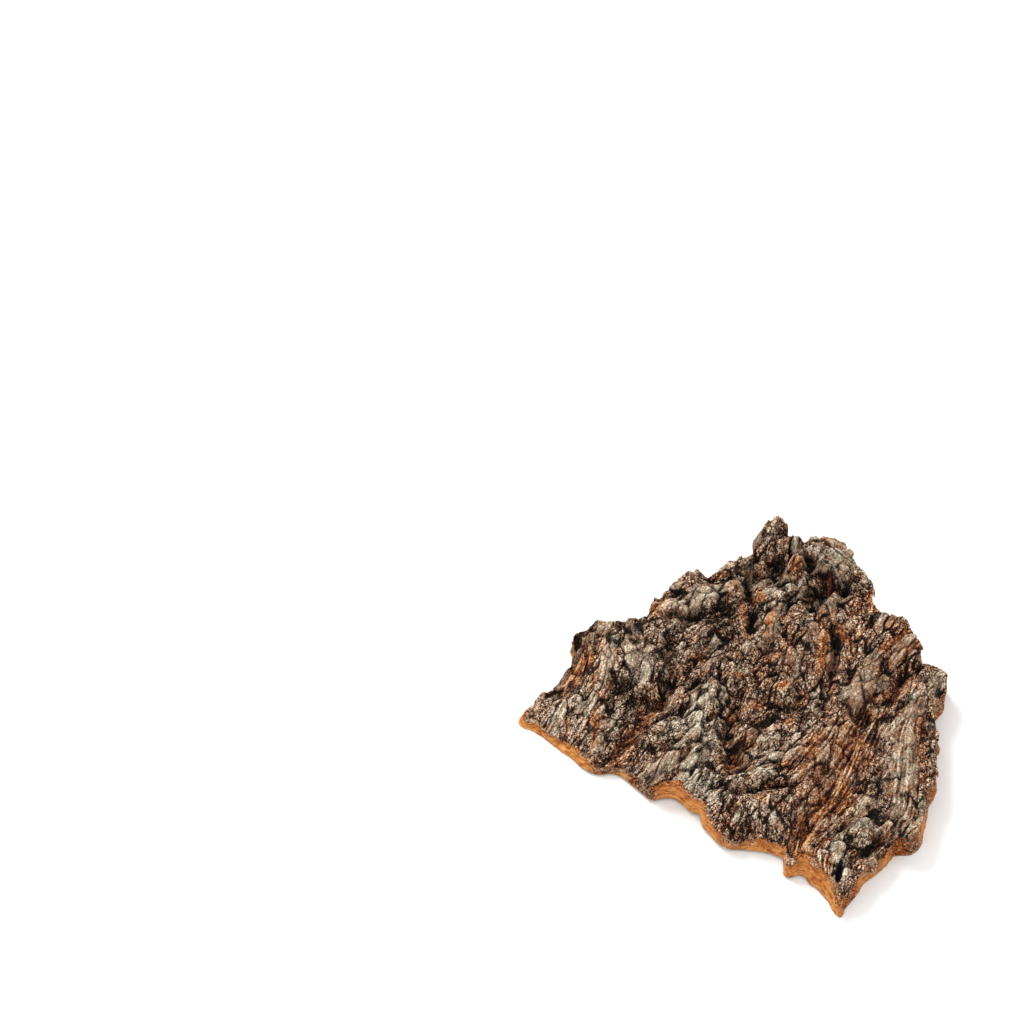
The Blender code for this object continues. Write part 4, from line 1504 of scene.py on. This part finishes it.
class Shader:
    """A new material whose nodes are made one call at a time."""

    def __init__(self, name: str) -> None:
        """Makes an empty material.

        Args:
            name: its name.
        """
        self.material = bpy.data.materials.new(name)
        self.material.use_nodes = True
        self.material.node_tree.nodes.clear()

    def node(
        self,
        kind: str,
        settings: Optional[dict[str, Any]] = None,
        inputs: Optional[dict[Union[int, str], Any]] = None,
        output: int = 0,
    ) -> Value:
        """Adds one node.

        Args:
            kind: the node's type.
            settings: its settings, with a ramp's stops as pairs of place and colour.
            inputs: the values or links of its sockets, by number or name.
            output: the number of the output that is wanted.

        Returns:
            That output, or one without a socket if the node has no outputs.
        """
        node = self.material.node_tree.nodes.new(kind)
        for key, value in (settings or {}).items():
            if key == "stops":
                self._set_stops(node.color_ramp, value)
            else:
                setattr(node, key, value)
        for key, value in (inputs or {}).items():
            if isinstance(value, Value):
                self.material.node_tree.links.new(value.socket, node.inputs[key])
            else:
                node.inputs[key].default_value = value if isinstance(value, (int, float)) else (*value, 1.0)[
                    : len(node.inputs[key].default_value)]
        return Value(self, node.outputs[output] if len(node.outputs) else None)

    @staticmethod
    def _set_stops(ramp: bpy.types.ColorRamp, colours: Stops) -> None:
        """Gives the ramp its stops.

        Args:
            ramp: the ramp.
            colours: its stops, in order.
        """
        while len(ramp.elements) < len(colours):
            ramp.elements.new(0.5)
        for element, (place, colour) in zip(ramp.elements, colours):
            element.position = place
            element.color = (*colour, 1.0)

    def marks(self, *names: str) -> dict[str, Value]:
        """The numbers kept with the piece's points, by name."""
        return {name: self.node("ShaderNodeAttribute", {"attribute_name": name}, output=2) for name in names}

    def place(self) -> Value:
        """Object coordinates."""
        return self.node("ShaderNodeTexCoord", output=3)

    def noise(self, place: Value, scale: float, detail: float = 3.0, roughness: float = 0.55) -> Value:
        """Cloudy noise from 0 to 1."""
        inputs = {"Vector": place, "Scale": scale, "Detail": detail, "Roughness": roughness}
        return self.node("ShaderNodeTexNoise", {"noise_dimensions": "3D"}, inputs)

    def vector(self, x: Number, y: Number, z: Number) -> Value:
        """Three numbers as coordinates."""
        return self.node("ShaderNodeCombineXYZ", None, {0: x, 1: y, 2: z})

    def shaken(self, place: Value, scale: float, reach: float) -> Value:
        """Coordinates moved a little, each way by its own noise.

        Args:
            place: the coordinates.
            scale: how many swings there are to a metre.
            reach: how far they move.

        Returns:
            The moved coordinates.
        """
        noise = self.node("ShaderNodeTexNoise", None, {"Vector": place, "Scale": scale, "Detail": 2.0}, output=1)
        centred = self.node("ShaderNodeVectorMath", {"operation": "SUBTRACT"}, {0: noise, 1: (0.5, 0.5, 0.5)})
        return self.node(
            "ShaderNodeVectorMath", {"operation": "MULTIPLY_ADD"}, {0: centred, 1: (reach, reach, reach), 2: place})

    def cell_numbers(self, place: Value, scale: float) -> tuple[Value, Value]:
        """Two numbers from 0 to 1 that are the same all over a cell."""
        cell = self.node("ShaderNodeTexVoronoi", {"feature": "F1"}, {"Vector": place, "Scale": scale}, output=1)
        return tuple(self.node("ShaderNodeSeparateColor", None, {0: cell}, output=k) for k in (0, 1))

    def cell_gap(self, place: Value, scale: float) -> Value:
        """How far the border of a cell is, in cell sizes."""
        return self.node("ShaderNodeTexVoronoi", {"feature": "DISTANCE_TO_EDGE"}, {"Vector": place, "Scale": scale})

    def ramp(self, factor: Number, colours: Stops) -> Value:
        """Colours that follow a number."""
        return self.node("ShaderNodeValToRGB", {"stops": colours}, {0: factor})

    def mix(self, factor: Number, first: Union[Value, Colour], second: Union[Value, Colour]) -> Value:
        """Two colours mixed."""
        settings = {"data_type": "RGBA", "blend_type": "MIX", "clamp_factor": True}
        return self.node("ShaderNodeMix", settings, {0: factor, 6: first, 7: second}, output=2)

    def bump(self, height: Value, distance: float, strength: float) -> Value:
        """A normal that follows a height."""
        return self.node("ShaderNodeBump", None, {"Strength": strength, "Distance": distance, "Height": height})

    def finish(self, colour: Union[Value, Colour], roughness: Number, normal: Optional[Value] = None,
               specular: float = 0.25) -> bpy.types.Material:
        """Closes the material with its surface.

        Args:
            colour: the base colour.
            roughness: how dull it is.
            normal: a bump, or none.
            specular: how strong its reflections are.

        Returns:
            The material.
        """
        inputs = {"Base Color": colour, "Roughness": roughness, "Specular IOR Level": specular}
        if normal is not None:
            inputs["Normal"] = normal
        surface = self.node("ShaderNodeBsdfPrincipled", None, inputs)
        self.node("ShaderNodeOutputMaterial", None, {"Surface": surface})
        return self.material


@dataclass(frozen=True)
class BarkFinish:
    """Weathered bark: rusty and orange where cork is bare, with painted shade in its cracks and hollows and a
    painted highlight on its crests.
    """

    shades: Stops = stops(
        (0.0, 14, 5, 0), (0.16, 52, 31, 20), (0.38, 118, 88, 68), (0.6, 167, 132, 104), (0.8, 212, 182, 152),
        (1.0, 254, 242, 224),
    )
    greys: Stops = stops(
        (0.0, 14, 11, 8), (0.2, 71, 62, 52), (0.42, 134, 121, 101), (0.66, 181, 165, 139), (1.0, 248, 237, 214),
    )
    rusts: Stops = stops(
        (0.0, 30, 11, 4), (0.25, 100, 45, 18), (0.5, 162, 86, 38), (0.75, 206, 132, 68), (1.0, 244, 196, 134),
    )
    corks: Stops = stops(
        (0.0, 60, 24, 9), (0.3, 140, 70, 28), (0.6, 188, 108, 50), (1.0, 232, 172, 108),
    )
    # Sooty purple-grey, for soot patches and for painted shade
    sooty_and_shaded: Stops = stops(
        (0.0, 13, 9, 10), (0.3, 54, 44, 45), (0.6, 106, 91, 88), (1.0, 204, 186, 172),
    )

    def material(self) -> bpy.types.Material:
        """Makes the material.

        Returns:
            The material.
        """
        shader = Shader("bark")
        place = shader.place()
        marks = shader.marks(
            "hollow", "deep", "crest", "crack", "plate_tone", "plate_hue", "shard_tone", "granule_tone", "streak",
            "smooth", "fibrous", "bare", "rusty", "pale", "dark", "lip", "along", "across")
        grained = shader.vector(0.00055 * marks["along"], 0.001 * marks["across"], marks["plate_tone"])
        grained = shader.shaken(grained, 800.0, 0.0009)
        flake_tone, flake_hue = shader.cell_numbers(grained, 800.0)
        flake_gap = shader.cell_gap(grained, 800.0)
        chip_tone, chip_hue = shader.cell_numbers(shader.shaken(place, 1200.0, 0.0006), 1500.0)
        fine = shader.noise(place, 1300.0, 2.0, 0.75)
        medium = shader.noise(place, 240.0, 3.0)
        broad = shader.noise(place, 70.0, 3.0)
        rough = (1 - 0.85 * marks["smooth"] - 0.5 * marks["fibrous"]).clamped()
        # How near a flake's edge each place is: it darkens the colour as painted shade in the crevices, and sinks
        # the bump
        crevice = 1 - flake_gap.ranged(0.0, 0.16)
        tone = 0.65 + marks["granule_tone"].swing(0.12) + marks["shard_tone"].swing(0.12)
        # Painted highlight on the crests
        tone = tone + marks["plate_tone"].swing(0.14) + 0.14 * marks["crest"]
        # Painted shade in the cracks, the hollows and the deep recesses
        tone = tone - 0.74 * marks["crack"] - 0.1 * marks["hollow"]
        tone = tone - 0.28 * marks["deep"] * (1 - 0.7 * marks["fibrous"])
        tone = tone + 0.6 * (marks["streak"] - 0.5) * (0.2 + 0.8 * marks["fibrous"])
        tone = tone + flake_tone.swing(0.15 + 0.35 * rough) + chip_tone.swing(0.22 + 0.42 * rough)
        # Painted shade in the crevices between flakes
        tone = tone - 0.3 * rough * crevice + fine.swing(0.9 + 1.1 * rough) + medium.swing(0.3) + broad.swing(0.3)
        # Darker where marked dark, partly painted shade
        tone = (tone + 0.12 * marks["pale"] - 0.11 * marks["dark"]).clamped()
        colour = shader.ramp(tone, self.shades)
        patchy = shader.noise(place, 150.0, 3.0, 0.6) + flake_hue.swing(0.5)
        grey = 0.6 * marks["smooth"] + 0.35 * marks["pale"] + patchy.swing(2.0)
        grey = (grey - 0.6 * marks["rusty"] + marks["plate_hue"].swing(0.9)).clamped()
        colour = shader.mix(grey * 0.85, colour, shader.ramp(tone, self.greys))
        blotch = shader.noise(place.moved(0.37), 125.0, 3.0, 0.6) + chip_hue.swing(0.45)
        rusty = 0.7 * marks["rusty"] + blotch.swing(3.4) + broad.swing(0.9) + 0.35 * marks["fibrous"]
        rusty = (rusty - 0.35 * marks["smooth"] - 0.3 * marks["pale"] - marks["plate_hue"].swing(0.9)).clamped()
        colour = shader.mix(rusty * 0.85, colour, shader.ramp(tone, self.rusts))
        # Sooty patches at random, and painted shade where the bark is marked dark
        soot_and_shade = (0.6 * marks["dark"] + 2.2 * (shader.noise(place.moved(0.71), 110.0, 3.0) - 0.56)).clamped()
        colour = shader.mix(soot_and_shade * (1 - 0.6 * rusty) * 0.8, colour, shader.ramp(tone, self.sooty_and_shaded))
        bare = (2.2 * marks["bare"] * (0.1 + medium) - 0.55).clamped()
        colour = shader.mix(bare * 0.8, colour, shader.ramp((tone + 0.1).clamped(), self.corks))
        colour = shader.mix(marks["lip"] * 0.8, colour, shader.ramp((tone + 0.05).clamped(), self.corks))
        grain = shader.noise(place, 1500.0, 2.0, 0.7) + 0.5 * flake_tone - 0.7 * crevice + 0.3 * chip_tone
        normal = shader.bump(grain, 0.0006, 0.9)
        return shader.finish(colour, 0.88, normal, 0.2)


@dataclass(frozen=True)
class CorkFinish:
    """Bare cork: orange and layered on the torn rim, smooth and tan on the inner face."""

    torn: Stops = stops(
        (0.0, 66, 30, 12), (0.22, 148, 82, 36), (0.5, 204, 132, 70), (0.78, 226, 164, 100), (1.0, 246, 206, 154),
    )
    inner: Stops = stops(
        (0.0, 92, 56, 34), (0.4, 160, 110, 74), (0.7, 184, 136, 98), (1.0, 206, 162, 122),
    )

    def material(self) -> bpy.types.Material:
        """Makes the material.

        Returns:
            The material.
        """
        shader = Shader("cork")
        place = shader.place()
        marks = shader.marks("wall", "crusted", "layer", "chunk_tone", "hollow", "dark", "walked", "rise")
        fine = shader.noise(place, 1100.0, 3.0, 0.65)
        medium = shader.noise(place, 320.0, 3.0)
        broad = shader.noise(place, 70.0, 3.0)
        stretched = shader.vector(0.00016 * marks["walked"], 0.0009 * marks["rise"], 0.0)
        fibre = shader.noise(shader.shaken(stretched, 260.0, 0.0004), 1100.0, 3.0, 0.6)
        # Painted shade where the torn rim is pushed in
        tone = 0.56 + marks["chunk_tone"].swing(0.12) + marks["layer"].swing(0.12) - 0.28 * marks["hollow"]
        tone = tone + fibre.swing(1.3) + fine.swing(0.5) + medium.swing(0.25) + broad.swing(0.3)
        torn = shader.ramp(tone.clamped(), self.torn)
        chips, _ = shader.cell_numbers(shader.shaken(place, 900.0, 0.0008), 1100.0)
        bark = 0.54 - 0.2 * marks["dark"] + chips.swing(0.5) + fine.swing(1.6) + medium.swing(0.6)
        bark = bark.clamped()
        weathered = BarkFinish()
        shades, rusts = shader.ramp(bark, weathered.shades), shader.ramp(bark, weathered.rusts)
        crust = shader.mix(broad.ranged(0.4, 0.6), shades, rusts)
        torn = shader.mix((1.2 * marks["dark"] + marks["crusted"]).clamped(), torn, crust)
        # Painted shade in the inner face's pits
        smooth = 0.62 + broad.swing(0.5) + medium.swing(0.3) - 0.6 * marks["hollow"]
        colour = shader.mix(marks["wall"], shader.ramp(smooth.clamped(), self.inner), torn)
        normal = shader.bump(shader.noise(place, 1700.0, 4.0, 0.7) + 0.3 * medium + 0.8 * fibre, 0.0006, 0.8)
        return shader.finish(colour, 0.9, normal, 0.15)


@dataclass(frozen=True)
class Floor:
    """The plain pale surface that the slab lies on."""

    size: float = 6.0
    colour: Colour = srgb(250, 250, 249)

    def build(self) -> bpy.types.Object:
        """Makes the floor.

        Returns:
            The floor.
        """
        bpy.ops.object.select_all(action="DESELECT")
        bpy.ops.mesh.primitive_plane_add(size=self.size)
        floor = bpy.context.object
        floor.name = "studio_floor"
        floor.data.materials.append(Shader("floor").finish(self.colour, 0.9, specular=0.1))
        return floor


@dataclass(frozen=True)
class Studio:
    """Plain soft light and the camera."""

    key_strength: float = 1.9
    key_angle: float = 24.0
    key_turn: tuple[float, float, float] = (-38.0, -35.0, 0.0)
    sky_strength: float = 1.08
    lens: float = 135.0
    sensor: float = 36.0
    tilt: float = 52.0
    scale: float = 1.718
    aim: tuple[float, float] = (733.5, 727.2)
    picture: int = 1024

    def light(self) -> None:
        """Adds the key light and the sky's even light."""
        lamp = bpy.data.lights.new("key", "SUN")
        lamp.energy = self.key_strength
        lamp.angle = math.radians(self.key_angle)
        key = bpy.data.objects.new("key", lamp)
        key.rotation_euler = [math.radians(angle) for angle in self.key_turn]
        bpy.context.scene.collection.objects.link(key)
        world = bpy.data.worlds.new("studio")
        world.use_nodes = True
        back = world.node_tree.nodes["Background"]
        back.inputs["Color"].default_value = (1.0, 1.0, 1.0, 1.0)
        back.inputs["Strength"].default_value = self.sky_strength
        bpy.context.scene.world = world

    def camera(self) -> bpy.types.Object:
        """Sets the camera where the slab falls as it does in the photograph.

        Returns:
            The camera.
        """
        focal = self.lens / self.sensor * self.picture
        away = focal / self.scale * MM
        tilt = math.radians(self.tilt)
        ahead = Vector((0.0, math.cos(tilt), -math.sin(tilt)))
        right = Vector((1.0, 0.0, 0.0))
        up = right.cross(ahead)
        half = self.picture / 2
        shift = (self.aim[0] - half) / focal * right - (self.aim[1] - half) / focal * up
        place = -away * (ahead + shift)
        data = bpy.data.cameras.new("camera")
        data.lens, data.sensor_width = self.lens, self.sensor
        data.clip_start, data.clip_end = 0.1, 10.0
        camera = bpy.data.objects.new("camera", data)
        turned = Matrix((right, up, -ahead)).transposed().to_4x4()
        turned.translation = place
        camera.matrix_world = turned
        bpy.context.scene.collection.objects.link(camera)
        bpy.context.scene.camera = camera
        return camera


def declare(piece: bpy.types.Object, material: bpy.types.Material) -> None:
    """Gives a piece its finish and its place in the frame, and reports it.

    Args:
        piece: the piece.
        material: its finish.
    """
    piece.data.materials.append(material)
    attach(piece, BODY)
    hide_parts(NODE)
    triangles = sum(len(face.vertices) - 2 for face in piece.data.polygons)
    log.info("%s: %d triangles", piece.name, triangles)


def build_slab() -> None:
    """Makes all of the slab's pieces."""
    solid = Solid()
    relief = Relief(solid)
    bark, cork = BarkFinish().material(), CorkFinish().material()
    for part in Part:
        declare(CrustPiece(relief, part).build(), bark)
    body = CorkBody(solid, relief).build()
    declare(body, cork)


def main() -> None:
    """Builds the slab and its studio."""
    logging.basicConfig(level=logging.INFO, format="%(name)s %(message)s")
    build_slab()
    Floor().build()
    studio = Studio()
    studio.light()
    studio.camera()
    bpy.context.scene.view_settings.view_transform = "Standard"


if __name__ == "__main__":
    main()
